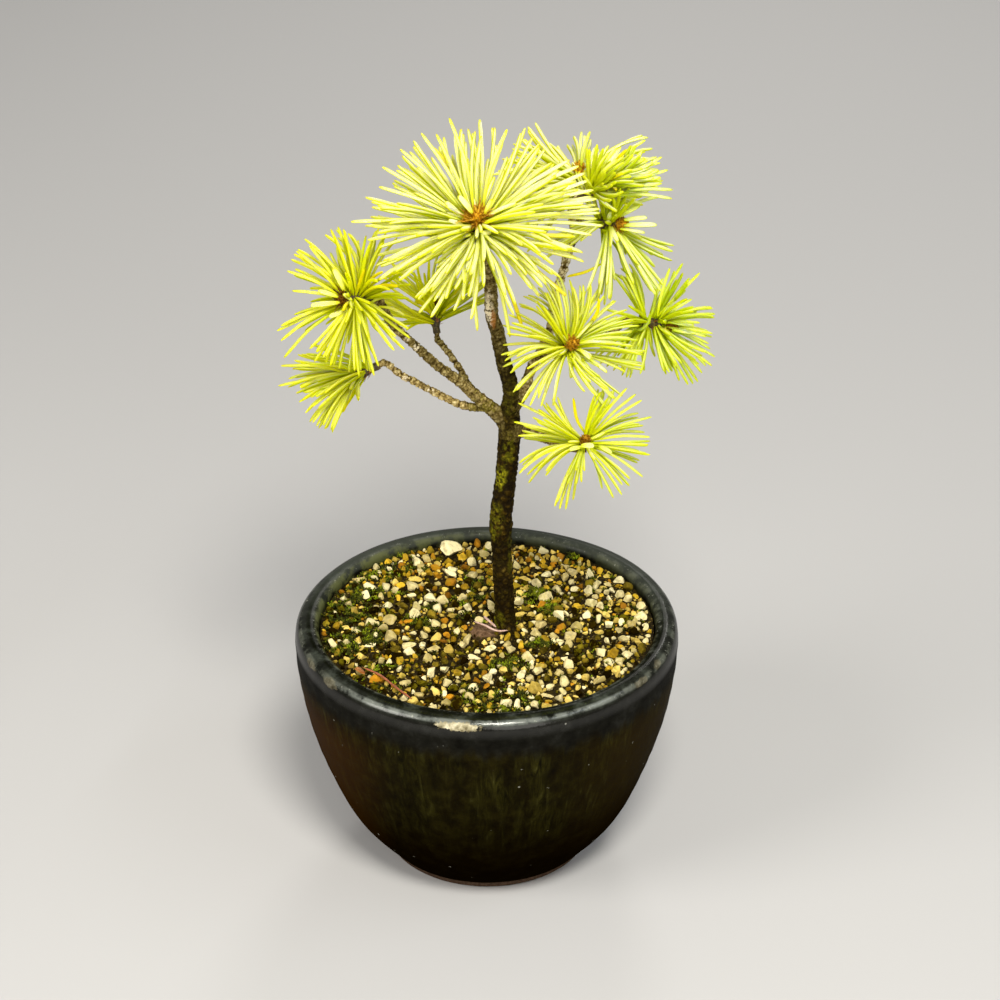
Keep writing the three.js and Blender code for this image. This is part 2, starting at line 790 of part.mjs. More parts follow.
function makeShoot(spray) {
  const { across, up } = squareTo(shootAxis(spray));
  const steps = 2;
  return ringedBar(SHOOT.sides, steps, (k) => ({
    centre: vector(spray.base).lerp(vector(spray.tip), k / steps),
    across,
    up,
    radius: () => shootRadius(spray, k / steps),
  }));
}

// Fusing can leave a closed pocket between needles or a loose scrap, so only the largest body is kept
function fuse(geometries) {
  const parts = join(geometries.map(toSolid)).simplify(NEEDLE.mergeWithin).decompose();
  return parts.reduce((largest, part) => (part.volume() > largest.volume() ? part : largest));
}

function makeSprays() {
  const capsules = LIMBS.flatMap(limbCapsules);
  for (const [name, spray] of Object.entries(SPRAYS)) capsules.push(...shootCapsules(spray, name));
  const sprays = {};
  for (const [name, spray] of Object.entries(SPRAYS)) {
    const reach = spray.length + NEEDLE.longest;
    const centre = vector(spray.base).lerp(vector(spray.tip), 0.5);
    const others = capsules.filter(({ from, owner }) => owner !== name && centre.distanceTo(from) < reach);
    const own = [];
    const bundles = [];
    for (const plan of sprayBundles(spray)) {
      const bundle = settleBundle(plan, others, own);
      if (bundle.needles.length < 3) continue;
      bundles.push(bundle);
      for (const { points } of bundle.needles) own.push(...needleCapsules(points, name));
    }
    capsules.push(...own);
    sprays[name] = toGeometry(fuse([makeShoot(spray), ...bundles.map(bundleGeometry)]));
  }
  return sprays;
}

function budFoot(spray) {
  return vector(spray.tip).addScaledVector(shootAxis(spray), GAP);
}

function makeBud(spray) {
  const profile = [
    [0, 0],
    [BUD.radius * 0.75, 0],
    [BUD.radius, BUD.length * 0.4],
    [0, BUD.length],
  ];
  const stand = new THREE.Quaternion().setFromUnitVectors(new THREE.Vector3(0, 0, 1), shootAxis(spray));
  const foot = budFoot(spray);
  const geometry = turned(profile, BUD.sides).applyQuaternion(stand);
  return closed(geometry.translate(foot.x, foot.y, foot.z));
}

// The whole object

function piece(name, geometry, material) {
  const mesh = new THREE.Mesh(geometry, material);
  mesh.name = name;
  return mesh;
}

function build() {
  const bonsai = new THREE.Group();
  bonsai.add(piece('pot', makePot(), MATERIALS.glaze));
  bonsai.add(piece('drain_screen', makeScreen(), MATERIALS.screen));
  bonsai.add(piece('soil', makeSoil(), MATERIALS.gravel));
  bonsai.add(piece('wood', makeWood(), MATERIALS.bark));
  for (const [name, geometry] of Object.entries(makeSprays())) {
    bonsai.add(piece(`needles_${name}`, geometry, MATERIALS.needle));
    bonsai.add(piece(`bud_${name}`, makeBud(SPRAYS[name]), MATERIALS.bud));
  }
  const box = new THREE.Box3().setFromObject(bonsai, true);
  const centre = box.getCenter(new THREE.Vector3());
  bonsai.position.set(-centre.x, -centre.y, -box.min.z);
  const whole = new THREE.Group();
  whole.add(bonsai);
  return whole;
}

export default build();
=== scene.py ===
# Looks of the Japanese white pine bonsai
#
# Sizes are in millimetres about the pot's own axis, with the front at -Y and +Z up. A piece's mesh is put in
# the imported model's frame, in metres, when it is made.

import itertools
import math
from functools import partial

import bpy
import numpy as np
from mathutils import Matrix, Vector, kdtree


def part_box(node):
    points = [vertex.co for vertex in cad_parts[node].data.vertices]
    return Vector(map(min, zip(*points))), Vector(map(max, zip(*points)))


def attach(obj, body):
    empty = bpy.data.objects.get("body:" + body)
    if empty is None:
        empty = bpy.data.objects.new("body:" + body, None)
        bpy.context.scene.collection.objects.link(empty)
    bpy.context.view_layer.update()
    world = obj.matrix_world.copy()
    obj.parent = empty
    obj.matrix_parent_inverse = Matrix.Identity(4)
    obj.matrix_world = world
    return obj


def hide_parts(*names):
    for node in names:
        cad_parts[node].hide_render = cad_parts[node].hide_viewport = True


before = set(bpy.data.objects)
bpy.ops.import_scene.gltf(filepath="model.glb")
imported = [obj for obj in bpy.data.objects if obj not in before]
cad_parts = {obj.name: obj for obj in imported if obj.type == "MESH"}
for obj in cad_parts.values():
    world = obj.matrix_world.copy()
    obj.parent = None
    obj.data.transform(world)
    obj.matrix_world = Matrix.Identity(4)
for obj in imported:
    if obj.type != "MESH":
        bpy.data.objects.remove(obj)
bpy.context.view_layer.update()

MM = 0.001
pot_low, pot_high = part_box("pot")
AXIS = np.array([(pot_low.x + pot_high.x) / 2, (pot_low.y + pot_high.y) / 2, 0.0])

# Camera, as fitted to the photograph's view of the pot
CAMERA_PITCH = 29.2
CAMERA_DISTANCE = 750
CAMERA_TARGET = (3.4, 0, 102)
CAMERA_LENS = 105.84
SENSOR = 36
FLOOR_HALF = 4.0
# Lights: name, place and width in metres, power, colour, and height where one isn't round
LIGHTS = (
    ("key", (0.1, -0.58, 0.86), 0.28, 9.5, (1.0, 0.955, 0.87)),
    ("front", (0.3, -1.0, 0.42), 0.7, 4.1, (1.0, 0.96, 0.9)),
    ("fill", (-0.75, -0.45, 0.62), 0.5, 5.6, (1.0, 0.96, 0.9)),
    ("back", (0.15, 0.9, 0.66), 0.3, 2.6, (1.0, 0.97, 0.92)),
    ("strip", (0.76, -0.27, 0.96), 0.9, 2.4, (0.9, 0.95, 1.0), 0.04),
)

# Pot and soil. All but the gravel's reach are the solids' own sizes
POT_HEIGHT = 67
RIM_RADIUS = 50
MOUTH_RADIUS = 44
POT_FLOOR = 9
DRAIN_RADIUS = 6
SCREEN_THICKNESS = 0.8
SCREEN_REACH = 15
WALL_GAP = 0.45
SOIL_HEIGHT = 64.2
GRAVEL_REACH = 43.2
GAP = 0.3
TRUNK_FOOT = (4.4, -2.7)

# Needles and their bundles. Shifts are shares of a needle's length, and turns and tilts are in degrees
NEEDLE_WIDTH = 0.95
NEEDLE_RADIUS = NEEDLE_WIDTH * 0.55
BUNDLE_SIZE = 5
BUNDLE_OPENING = 7.5
PALM_REACH = 2.4
PALM_RADIUS = 0.75
CLEARANCE = 0.14
NEEDLE_BEND = 0.05
BENT_SHARE = 0.25
BEND_SHIFTS = (0.1, 0.18, 0.27, 0.38)
BEND_WAYS = 8
FREE_WEIGHT = 3
FEWEST_NEEDLES = 3
SINGLE_TRIES = 6
LONGEST_NEEDLE = 30
BUNDLE_TURNS = (0, 6, -6, 12, -12, 18, -18, 26, -26, 36, -36)
BUNDLE_TILTS = (0, -9, 9, -18)
GOLDEN_ANGLE = math.radians(137.508)
TURN_SPREAD = 0.9
OPENING_SPREAD = 20
FIRST_BUNDLE = 1.3
LAST_BUNDLE = 1.7
SHOOT_SWELL = 1.15
BUD_RADIUS = 1.15
BUD_LENGTH = 3.4

# Seeds of the looks' random numbers, those of a spray counted from its own seed
DRAWS = {"needles": 0, "singles": 300, "shoot": 500, "bud": 900}
GRAVEL_SEED = 2024
MOSS_SEED = 77


class Spray:
    """One spray: its shoot from base to tip, the number of its bundles and their length, their opening in
    degrees at both ends, their droop, the shoot's radius, and the seed and first turn of the rule that places
    them. The rest are looks: the size of the bud's star, the number of needles that stand between the
    bundles, and the needles' thickness and paleness."""

    def __init__(
            self, base, tip, bundles, length, cone, droop, stem, seed, spin, rosette, singles, thick, pale):
        self.base, self.tip = np.array(base, float), np.array(tip, float)
        self.bundles, self.length, self.cone, self.droop, self.stem = bundles, length, cone, droop, stem
        self.seed, self.spin = seed, spin
        self.rosette, self.singles, self.thick, self.pale = rosette, singles, thick, pale

    @property
    def axis(self):
        return unit(self.tip - self.base)

    @property
    def long(self):
        return np.linalg.norm(self.tip - self.base)

    @property
    def bud_foot(self):
        return self.tip + GAP * self.axis

    def draws(self, use):
        return np.random.default_rng(self.seed + DRAWS[use])

    def around(self, angle):
        """The direction at that angle round the shoot."""
        return turned(*square_to(self.axis), angle)

    def opened(self, outward, cone):
        """The direction that leans from the shoot's axis outwards by that many degrees."""
        return turned(self.axis, outward, math.radians(cone))

    def place_on(self, share):
        """The place on the shoot and the opening in degrees of what grows there."""
        reach = self.long - FIRST_BUNDLE - LAST_BUNDLE
        place = self.base + self.axis * (FIRST_BUNDLE + reach * share)
        return place, self.cone[0] + (self.cone[1] - self.cone[0]) * share**1.5


SPRAYS = {
    "low_right": Spray(
        (23.7, -15.6, 125.6), (24.2, -20, 129.7), 13, 16.1, (106, 41), 0.09, 1.0, 4722, 192,
        0.26, 3, 0.8, 0.2),
    "middle_right": Spray(
        (18.8, -6.4, 146.5), (20.7, -11, 151.4), 17, 18.8, (92, 39), 0.06, 1.0, 2366, 81,
        0.48, 14, 0.8, 0.45),
    "crown": Spray(
        (-1.7, -7.7, 176.8), (-2.1, -12, 184.7), 27, 27.4, (86, 73), 0.03, 1.5, 633, 52,
        1.15, 66, 1.02, 0.6),
    "right": Spray(
        (37.1, 8.4, 148.6), (44.9, 4, 149.6), 15, 15.2, (122, 16), 0.01, 1.0, 1875, 272,
        0.42, 16, 0.88, 0.15),
    "upper_right_front": Spray(
        (26.6, 13.9, 172.6), (32.2, 10, 174.2), 12, 17.9, (115, 43), 0.2, 0.9, 2293, 188,
        0.5, 12, 0.98, 0.5),
    "upper_right": Spray(
        (23.1, 9, 181.7), (30.7, 8, 186.5), 14, 14.4, (55, 15), 0.07, 0.9, 2460, 253,
        0.42, 36, 1.08, 0.66),
    "upper_back": Spray(
        (22.7, 25.6, 173.5), (23.1, 25, 181.4), 18, 20.9, (100, 68), 0, 1.0, 4744, 277,
        0.38, 44, 1.0, 0.6),
    "low_left": Spray(
        (-27.6, 3.3, 138.4), (-33.1, 1.9, 136.3), 11, 18.6, (46, 22), 0.01, 1.0, 1574, 99,
        0.4, 12, 0.84, 0.1),
    "left": Spray(
        (-28.2, -8.6, 162.6), (-33.5, -12, 164.5), 18, 18.5, (100, 56), 0.06, 1.2, 3718, 100,
        0.8, 28, 0.88, 0.05),
    "back_left": Spray(
        (-12.6, 12.5, 144.1), (-13.2, 15, 149.5), 12, 17.6, (78, 32), 0, 0.9, 5476, 274,
        0.4, 16, 0.82, 0.1),
}

# Each limb: the spray it carries, its radius at equal steps along it, the steps of its solid, and its path
LIMBS = [
    ("crown", (2.4, 3.1, 3.2, 2.9, 2.65, 2.65, 3.0, 2.9, 2.9, 3.0, 2.2, 2.1, 1.9, 1.8, 1.6, 1.5), 27, (
        (4.4, -2.7, 39), (4.4, -2.7, 56), (4.5, -2.7, 64), (4.7, -2.6, 69), (4.2, -2.4, 79),
        (3.8, -2.0, 89.5), (3.7, -1.6, 99.5), (4.4, -1.4, 105), (5.8, -0.7, 120), (5.8, -0.5, 126),
        (6.1, -0.6, 134), (4.9, -0.8, 139.5), (3.6, -1.0, 145), (2.7, -1.4, 150.5), (1.4, -1.8, 155),
        (1.2, -2.2, 161), (0.8, -2.8, 166), (-0.2, -3.9, 172))),
    ("upper_back", (1.8, 1.6, 1.4, 1.3, 1.3, 1.25, 1.3, 1.2, 1.0), 16, (
        (5.8, -0.4, 127), (8.6, 0.5, 131.6), (11.7, 3.2, 139), (13.4, 4.4, 141.8), (16.1, 7.2, 147.8),
        (16.8, 9.4, 153.8), (18.8, 11.2, 159.8), (21.0, 13.4, 167.3), (22.4, 17.5, 169.2),
        (23.5, 22.6, 170.2))),
    ("upper_right", (1.0, 0.95, 0.9), 7, ((20.6, 13.1, 166.4), (21.4, 12.8, 171), (20.8, 10.9, 177))),
    ("upper_right_front", (1.1, 1.1, 0.9), 4, ((20.2, 12.8, 165.8), (22.6, 13.8, 169.4))),
    ("right", (1.2, 1.1, 1.0, 1.0), 8, (
        (12.8, 4.1, 141), (18, 6, 143.4), (22.2, 7, 144.1), (28.4, 7.2, 144.4), (32.2, 7.2, 146.4))),
    ("middle_right", (1.2, 1.1, 1.0), 6, ((12.8, 4, 141), (15.8, 1.2, 142.8), (18.2, -2.4, 144))),
    ("low_right", (1.9, 1.5, 1.1, 1.0), 8, (
        (5.4, -0.6, 122), (9.7, -3, 123.4), (14, -6.6, 123.6), (18.6, -10.6, 123.6))),
    ("left", (2.2, 1.9, 1.5, 1.3, 1.25, 1.3, 1.2), 15, (
        (6.0, -0.4, 122.6), (2.2, -0.2, 127.4), (-0.4, 0, 129.8), (-4.6, -0.6, 134.2), (-7.8, -1.4, 137.6),
        (-12, -2.4, 141.4), (-17.1, -3.4, 147.1), (-20.7, -4.2, 151.2), (-23.4, -4.9, 154.8))),
    ("back_left", (1.0, 0.95, 0.9), 8, (
        (-3.6, -0.4, 133.2), (-6.2, 2, 137.6), (-8.9, 5.2, 140.4), (-11.2, 8.6, 142))),
    ("low_left", (1.3, 1.1, 1.05, 1.0), 11, (
        (0.8, -0.1, 128.8), (-4.1, 0.8, 128.3), (-7.7, 1.6, 129.1), (-11.4, 2.2, 130.8), (-17.2, 3.2, 133.7),
        (-21.7, 4.3, 135.8))),
]

# Young and curled needles that stand apart from the bundles, in groups with one thickness, paleness and y at
# the foot. Each has its tone and its y at the tip, and then x and z at every point of its path.
LOOSE_NEEDLES = {
    "crown": (
        (1.46, 0.6, -15.5, (0.6, -15.5, -1.6, 183, 1.3, 183.2)),
        (1.29, 1, -15.5, (0.5, -15.5, -0.8, 182.4, 0.3, 179.1)),
        (1.2, 1, -14.5, (0.6, -14.5, 2, 184.3, 6, 184.8)),
        (1.29, 0.7, -14.5, (0.6, -14.5, -3.5, 182.2, -8.2, 181.6)),
        (1.29, 0.9, -14.5, (0.6, -14.5, -3, 181.2, -4.7, 178.6)),
        (1.29, 0.6, -13.5, (0.5, -13.5, -5.1, 184.1, -8.9, 185.5)),
        (1.63, 0.7, -13.5, (0.6, -13.5, -3.2, 187.4, -6.5, 191.8)),
        (1.38, 0.6, -12.5, (0.6, -12.5, -5.6, 186, -9.6, 189.8)),
        (1.12, 0.9, -13, (0.5, -13, -0.2, 187, 1.5, 190.8)),
        (1.12, 0.2, -11.5, (0.97, -11.5, 0.1, 177.7, 2.9, 172.2, 6.3, 164.3, 8.7, 156.5)),
        (1.16, 0.3, -13, (0.965, -13, 1.3, 179.5, 6.3, 177.6, 13.2, 171.1, 19.3, 165.5)),
        (0.95, 0.8, -11, (0.76, -7, -2.8, 186.4, -4.5, 197.5, -8.6, 208.9),
         (0.36, -6, -3.7, 185.9, -8.6, 195.3, -15.3, 204.7),
         (0.44, -8, -3.2, 185.9, -7, 195.3, -11.7, 205.3),
         (0.18, -7, -4.4, 185.3, -11.5, 193.3, -20.3, 201), (0.9, -9, -5, 184.7, -14.2, 191, -24.5, 197.3),
         (0.33, -13, -5.1, 183.9, -14.4, 189.6, -25.2, 193.9),
         (0.88, -15, -6.1, 182.7, -18.4, 185.1, -31.9, 185.8),
         (0.78, -6, -0.9, 186.1, 0.9, 195.8, 5.1, 205.7), (0.52, -4, -1, 185.6, 0.9, 193.5, 4.1, 201.8),
         (0.2, -16, -1.9, 178.7, -2.9, 168.8, -2.1, 157.6), (0.35, -14, -0.8, 178.5, 3.2, 167.7, 5.8, 155),
         (0.2, -17, 1.7, 181.5, 12.2, 181.5, 23.1, 178.7), (0.8, -15, 1.7, 181.2, 12.4, 179.5, 23.4, 175.4),
         (0.82, -12, -5.6, 182.5, -16.6, 183.5, -28.7, 183.4)),
        (0.98, 0.9, -11, (0.41, -6, 2.1, 183.3, 13.5, 185.6, 26.4, 186.2),
         (0.43, -8, 2.2, 183, 14.1, 184.7, 27.3, 185), (0.62, -10, 2.1, 182.8, 13.6, 185, 26.5, 184.4),
         (0.4, -11, 2.3, 182.5, 14.5, 183.9, 28, 183), (0.24, -13, 2, 182.2, 13.2, 183, 25.3, 181.5),
         (0.79, -5, 1.8, 183.5, 12.5, 185.6, 24.5, 187.4),
         (0.88, -12, 2.2, 183.1, 14.1, 185.7, 27.1, 187.8), (0.74, -5, 1.9, 183, 12.7, 184.4, 25, 183.5)),
        (1.05, 0.95, -11, (0.57, -4, 1.8, 184.6, 12.4, 188.3, 24.4, 191.6),
         (0.27, -6, 2, 184.3, 13.1, 188, 25.8, 190.1), (0.85, -3, 1.7, 184.9, 12, 189.2, 23.7, 193.2),
         (0.33, -8, 2, 184, 13, 186.8, 25.3, 189.2), (0.65, -2, 1.5, 185.2, 10.7, 190.8, 22.3, 194.6),
         (0.58, -9, 2.1, 184, 13.6, 187.1, 26.5, 189.1), (0.43, -2, 1.2, 185.4, 9.6, 191.3, 20.1, 196.2)),
    ),
    "left": (
        (0.86, 0.17, -11.5, (0.5, -11.5, -28.5, 160.3, -28.1, 162.4, -26.1, 164, -22.9, 164.5, -20, 163.9)),
        (0.86, 0.17, -11, (0.6, -11, -28.1, 160.6, -28.1, 158.4, -27, 156, -25.2, 154.5)),
        (0.9, 0.5, -11.5, (0.7, -11.5, -25.9, 161.9, -23, 161.5, -19.6, 159.6)),
        (1.16, 0.5, -13, (0.6, -13, -28.9, 161.5, -30.8, 162.6, -32.7, 163.9)),
        (1.16, 0.5, -14, (0.6, -14, -32.2, 164.7, -34.3, 166.5)),
        (1.46, 0.5, -14.5, (0.5, -14.5, -35.1, 164.4, -42.1, 163.6)),
        (1.38, 0.44, -14.5, (0.5, -14.5, -33.4, 162.2, -37.8, 160.6)),
        (1.63, 0.5, -13, (0.6, -13, -34.1, 166.8, -36.6, 172.9)),
        (1.29, 0.44, -14, (0.5, -14, -35.5, 165.7, -40.3, 167.3)),
        (0.84, 0.22, -12, (0.86, -13, -35.6, 163, -42.4, 161, -49.6, 157.5),
         (0.69, -14, -35.6, 162.5, -42.7, 159.3, -49.7, 154),
         (0.26, -14, -35.5, 161.8, -42.5, 156.7, -49.1, 149.4),
         (0.79, -11, -35.3, 165.1, -41, 168.6, -47.8, 171.2),
         (0.56, -12, -35.2, 164.3, -40.6, 165.7, -46.7, 166.4),
         (0.87, -10, -35, 165.8, -39.7, 171.1, -45.5, 176),
         (0.45, -9, -34.5, 166, -38, 171.4, -42.4, 176.9),
         (0.47, -12, -35.7, 162.8, -42.9, 159.6, -50.7, 155.7)),
    ),
    "upper_right_front": (
        (1.29, 0.8, 8.5, (0.5, 8.5, 33.8, 175.9, 39.5, 176.6)),
        (1.42, 0.8, 8, (0.5, 8, 33.8, 174.7, 41.9, 174.8)),
        (1.38, 0.6, 9, (0.5, 9, 29.9, 175.7, 30.9, 177.9)),
        (1.12, 0.6, 9, (0.5, 9, 32.6, 176.5, 37.7, 179.5)),
        (1.03, 0.8, 8, (0.5, 8, 32.9, 173.8, 39, 172.7)),
        (0.86, 0.3, 9, (0.4, 9, 28.5, 173.1, 32.2, 172.2, 33.7, 169.6, 34.5, 166.3)),
        (0.86, 0.3, 9.5, (0.3, 9.5, 29, 172, 32.6, 167.4, 33.6, 163.9, 34.9, 160.7)),
        (0.86, 0.4, 9, (0.6, 9, 28.7, 172.9, 30, 170.9, 30.4, 167.9)),
        (0.82, 0.1, 4, (0.97, 4, 28.7, 166.4, 24.6, 164, 19.9, 162.7)),
    ),
    "middle_right": (
        (1.12, 0.9, -13.5, (0.6, -13.5, 22.8, 153.2, 26.9, 153.6, 31.3, 153.3)),
        (1.25, 0.5, -14.5, (0.6, -14.5, 22.6, 152.1, 25.3, 149.3)),
        (1.29, 0.5, -14.5, (0.5, -14.5, 21.1, 150.7, 22.6, 147.4)),
        (1.25, 0.7, -14, (0.5, -14, 20.5, 149.9, 20.7, 143.9)),
        (1.03, 0.7, -14, (0.4, -14, 23.3, 149.1, 26.8, 143.4), (0.5, -14, 24.8, 149.4, 29.5, 145.4)),
        (0.95, 0.2, -9, (0.965, -9, 21, 151.5, 24.1, 154.5, 27, 159.3, 27.3, 163.1)),
        (0.8, 0.4, -10, (0.85, -8, 17.8, 150.5, 11.3, 150.8, 4.1, 149.9),
         (0.4, -10, 17.7, 150.1, 10.9, 150, 3.6, 148.2), (0.29, -11, 17.8, 149.6, 11, 148.5, 4.1, 145.4),
         (0.27, -14, 18.5, 148.3, 13.5, 143.8, 9.3, 137.6),
         (0.21, -12, 18.2, 148.8, 12.6, 145.1, 7.1, 140.2)),
        (0.8, 0.8, -8, (0.63, -6, 18.8, 150.8, 17, 156.9, 14.3, 163.3),
         (0.77, -6, 19.2, 151, 18.5, 157.7, 17, 164.9), (0.33, -7, 20.4, 150.5, 22.2, 156.1, 25.3, 161.6),
         (0.43, -8, 21, 149.7, 24.8, 153.4, 29.5, 156.7)),
    ),
    "low_right": (
        (1.5, 0.45, -23.5, (0.5, -23.5, 23.1, 130.2, 26.3, 130.1)),
        (1.3, 0.2, -22.5, (0.4, -22.5, 27.3, 129.7, 30.7, 127.6)),
        (1.25, 0.2, -22, (0.4, -22, 23.4, 129.1, 20.3, 128.3)),
        (0.9, 0.1, -17, (0.97, -17, 24.5, 129.8, 22.2, 133.9, 21.2, 140)),
        (0.76, 0.3, -19, (0.86, -15, 25.6, 131.2, 29.5, 136.5, 34.4, 141.7),
         (0.85, -17, 26.2, 130.8, 31.6, 135.3, 38, 139.4), (0.33, -18, 26.5, 130.1, 33, 133.2, 40.5, 135.3),
         (0.66, -21, 26.4, 129.3, 32.9, 131, 40, 131.3), (0.5, -23, 26.2, 127.8, 32.4, 125.3, 38.4, 121.3),
         (0.63, -15, 21.9, 130.6, 15.4, 134.3, 7.8, 137.6),
         (0.67, -17, 21.8, 129.9, 14.7, 131.8, 6.8, 133.4),
         (0.43, -19, 21.9, 129.4, 15.2, 130.6, 7.8, 130.6), (0.3, -23, 24.8, 127.3, 27, 123.1, 28.5, 117.9),
         (0.75, -24, 23.8, 126.9, 22.3, 121.6, 21.3, 115.4), (0.68, -13, 25.9, 131, 30.8, 135.1, 36.7, 139)),
    ),
    "right": (
        (1.03, 0.2, 3, (0.2, 3, 36.7, 148.7, 38.4, 148.7, 40.1, 150.9, 40.5, 153.1)),
        (0.82, 0.1, 6, (0.3, 6, 37.1, 146.4, 38.7, 141.7, 39.6, 135.8)),
        (1.03, 0.4, 1, (0.4, 1, 46, 149.6, 51.9, 148.5)),
        (1.03, 0.5, 1, (0.4, 1, 44.9, 151.8, 51.4, 150.7)),
        (0.84, 0.2, 4, (0.67, 2, 42, 147.2, 46.3, 141.1, 50.5, 133.9),
         (0.75, 4, 42.4, 147.4, 47.9, 141.3, 53.1, 133.7), (0.39, 5, 43, 148.3, 49.9, 144.8, 57.2, 140.2),
         (0.53, 1, 42.5, 147.7, 48.4, 143.6, 53.8, 137.7), (0.33, 8, 41.7, 151.9, 44.6, 158.2, 48.6, 164.6),
         (0.85, 7, 42.3, 151.6, 47.2, 156.8, 52.8, 162.4), (0.78, 6, 42.9, 148, 49.5, 143.1, 56.6, 137.2)),
        (0.86, 0.3, 3, (0.31, 4, 43.2, 148, 47.5, 141.1, 51.9, 133.1),
         (0.47, 1, 43.7, 148.7, 49.4, 145.1, 54.7, 139.7), (0.24, 5, 43.8, 149.4, 49.7, 146.6, 55.9, 142.4),
         (0.52, 0, 43.6, 149.8, 48.8, 149.3, 54.4, 148.2), (0.55, -2, 43.4, 150.4, 47.8, 152.2, 52.6, 153),
         (0.8, 6, 43.3, 150.8, 47.6, 151.6, 52.4, 152.2), (0.48, 5, 43.1, 151.3, 46.7, 153.8, 50.9, 156.2),
         (0.39, 7, 42.9, 151.6, 45.8, 154.8, 49.5, 157.7), (0.82, 8, 42.3, 152.5, 43.4, 157.7, 45.4, 163.3),
         (0.55, 3, 42.7, 148.1, 45.7, 141.8, 48.3, 134.5)),
    ),
    "upper_right": (
        (0.9, 0.6, 5, (0.16, 2, 31.6, 184.3, 38, 186.2, 45.2, 186.7),
         (0.15, 1, 31.6, 183.9, 38, 185, 45, 184.8), (0.48, 7, 31.5, 185, 37.3, 187.8, 44.2, 189.8),
         (0.39, 8, 31.2, 185.5, 36.5, 189.2, 42.7, 192.8)),
        (1.05, 0.95, 8.5, (0.76, 3.5, 26, 182.5, 23.6, 184.4, 20.8, 186.1),
         (0.58, 4.5, 26.4, 183.1, 25.2, 186.2, 23.5, 189.3),
         (0.61, 4.5, 26.2, 182.1, 24, 182.4, 21.9, 182.2), (0.38, 5.5, 27, 183.2, 27, 186.5, 27.6, 189.9),
         (0.56, 6.5, 27.2, 182, 28.2, 181.5, 29.3, 180.8)),
    ),
    "upper_back": (
        (0.9, 0.5, 24, (0.39, 28, 23.4, 182.7, 24.1, 187, 25.8, 191.4)),
    ),
    "low_left": (
        (0.82, 0.11, 1, (0.77, 0, -35.1, 137.8, -42.6, 139.9, -51.1, 140.2),
         (0.55, -1, -35.3, 137, -43.3, 136.5, -51.9, 135.1),
         (0.52, -2, -34.5, 136.4, -40.5, 134.2, -46.8, 131.1)),
    ),
}

# Vector and noise helpers


def unit(vectors):
    return vectors / np.linalg.norm(vectors, axis=-1, keepdims=True)


def square_to(axis):
    reference = np.array([0, -1.0, 0]) if abs(axis[2]) > 0.97 else np.array([0, 0, 1.0])
    across = unit(np.cross(reference, axis))
    return across, np.cross(axis, across)


def rotated(v, axis, angle):
    part = axis * (axis @ v) * (1 - math.cos(angle))
    return v * math.cos(angle) + np.cross(axis, v) * math.sin(angle) + part


def turned(first, second, angle):
    """The direction at that angle from the first towards the second, which is square to it."""
    return first * math.cos(angle) + second * math.sin(angle)


def circle(corners):
    return np.linspace(0, 2 * math.pi, corners, endpoint=False)


def sides_of(directions):
    """Two directions square to each one, the first of them level."""
    side = unit(np.cross(directions, [0, 0, 1.0]))
    return side, np.cross(side, directions)


def tube(line, first, second, radii, angles, flat=1.0):
    """Rings round a line, with angles counted from the first direction towards the second."""
    rings = line[:, None] + first[:, None] * (radii * np.cos(angles))[..., None]
    return rings + second[:, None] * (radii * np.sin(angles) * flat)[..., None]


def smoothstep(low, high, values):
    t = np.clip((values - low) / (high - low), 0, 1)
    return t * t * (3 - 2 * t)


def hashed(cells, seed):
    """A number from 0 to 1 for each whole-numbered cell."""
    c = cells.astype(np.int64).astype(np.uint64)
    h = c[..., 0] * np.uint64(73856093) ^ c[..., 1] * np.uint64(19349663) ^ c[..., 2] * np.uint64(83492791)
    h = (h ^ np.uint64(seed * 2654435761 % 2**32)) & np.uint64(0xFFFFFFFF)
    for _ in range(2):
        h = ((h ^ (h >> np.uint64(15))) * np.uint64(0x2C1B3C6D)) & np.uint64(0xFFFFFFFF)
        h = ((h ^ (h >> np.uint64(12))) * np.uint64(0x297A2D39)) & np.uint64(0xFFFFFFFF)
    return h.astype(float) / 2**32


def lattice_noise(points, size, seed):
    """Smooth noise from -1 to 1 with lumps of that size."""
    q = np.asarray(points, float) / size
    cell = np.floor(q)
    f = q - cell
    f = f * f * (3 - 2 * f)
    total = np.zeros(len(q))
    for corner in np.ndindex(2, 2, 2):
        corner = np.array(corner)
        weight = np.prod(np.where(corner == 1, f, 1 - f), axis=1)
        total += weight * hashed(cell + corner, seed)
    return 2 * total - 1


def fractal(points, size, seed, octaves):
    total = np.zeros(len(points))
    for k in range(octaves):
        total += lattice_noise(points, size / 2**k, seed + k) / 2**k
    return total / (2 - 2 ** (1 - octaves))


def fractal_at(x, y, z, size, seed, octaves=3):
    """The noise at points given as tables of x, y and z, as such a table."""
    points = np.stack(np.broadcast_arrays(x, y, z), -1)
    return fractal(points.reshape(-1, 3), size, seed, octaves).reshape(points.shape[:-1])


def plates(points, seed):
    """Cellular noise with cells one unit wide: distance to the nearest edge, and each cell's own number."""
    cell = np.floor(points)
    nearest = np.full(len(points), 9.0)
    second = np.full(len(points), 9.0)
    number = np.zeros(len(points))
    for step in np.ndindex(3, 3, 3):
        at = cell + np.array(step) - 1
        heart = at + 0.1 + 0.8 * np.stack([hashed(at, seed + k) for k in range(3)], -1)
        d = np.linalg.norm(points - heart, axis=1)
        closer = d < nearest
        second = np.where(closer, nearest, np.minimum(second, d))
        number = np.where(closer, hashed(at, seed + 7), number)
        nearest = np.where(closer, d, nearest)
    return second - nearest, number


def random_stream(seed):
    """The solids' own repeatable stream of numbers between 0 and 1."""
    state = seed * 7919

    def draw():
        nonlocal state
        state = (state * 48271) % 2147483647
        return state / 2147483647

    return draw


# Mesh helpers


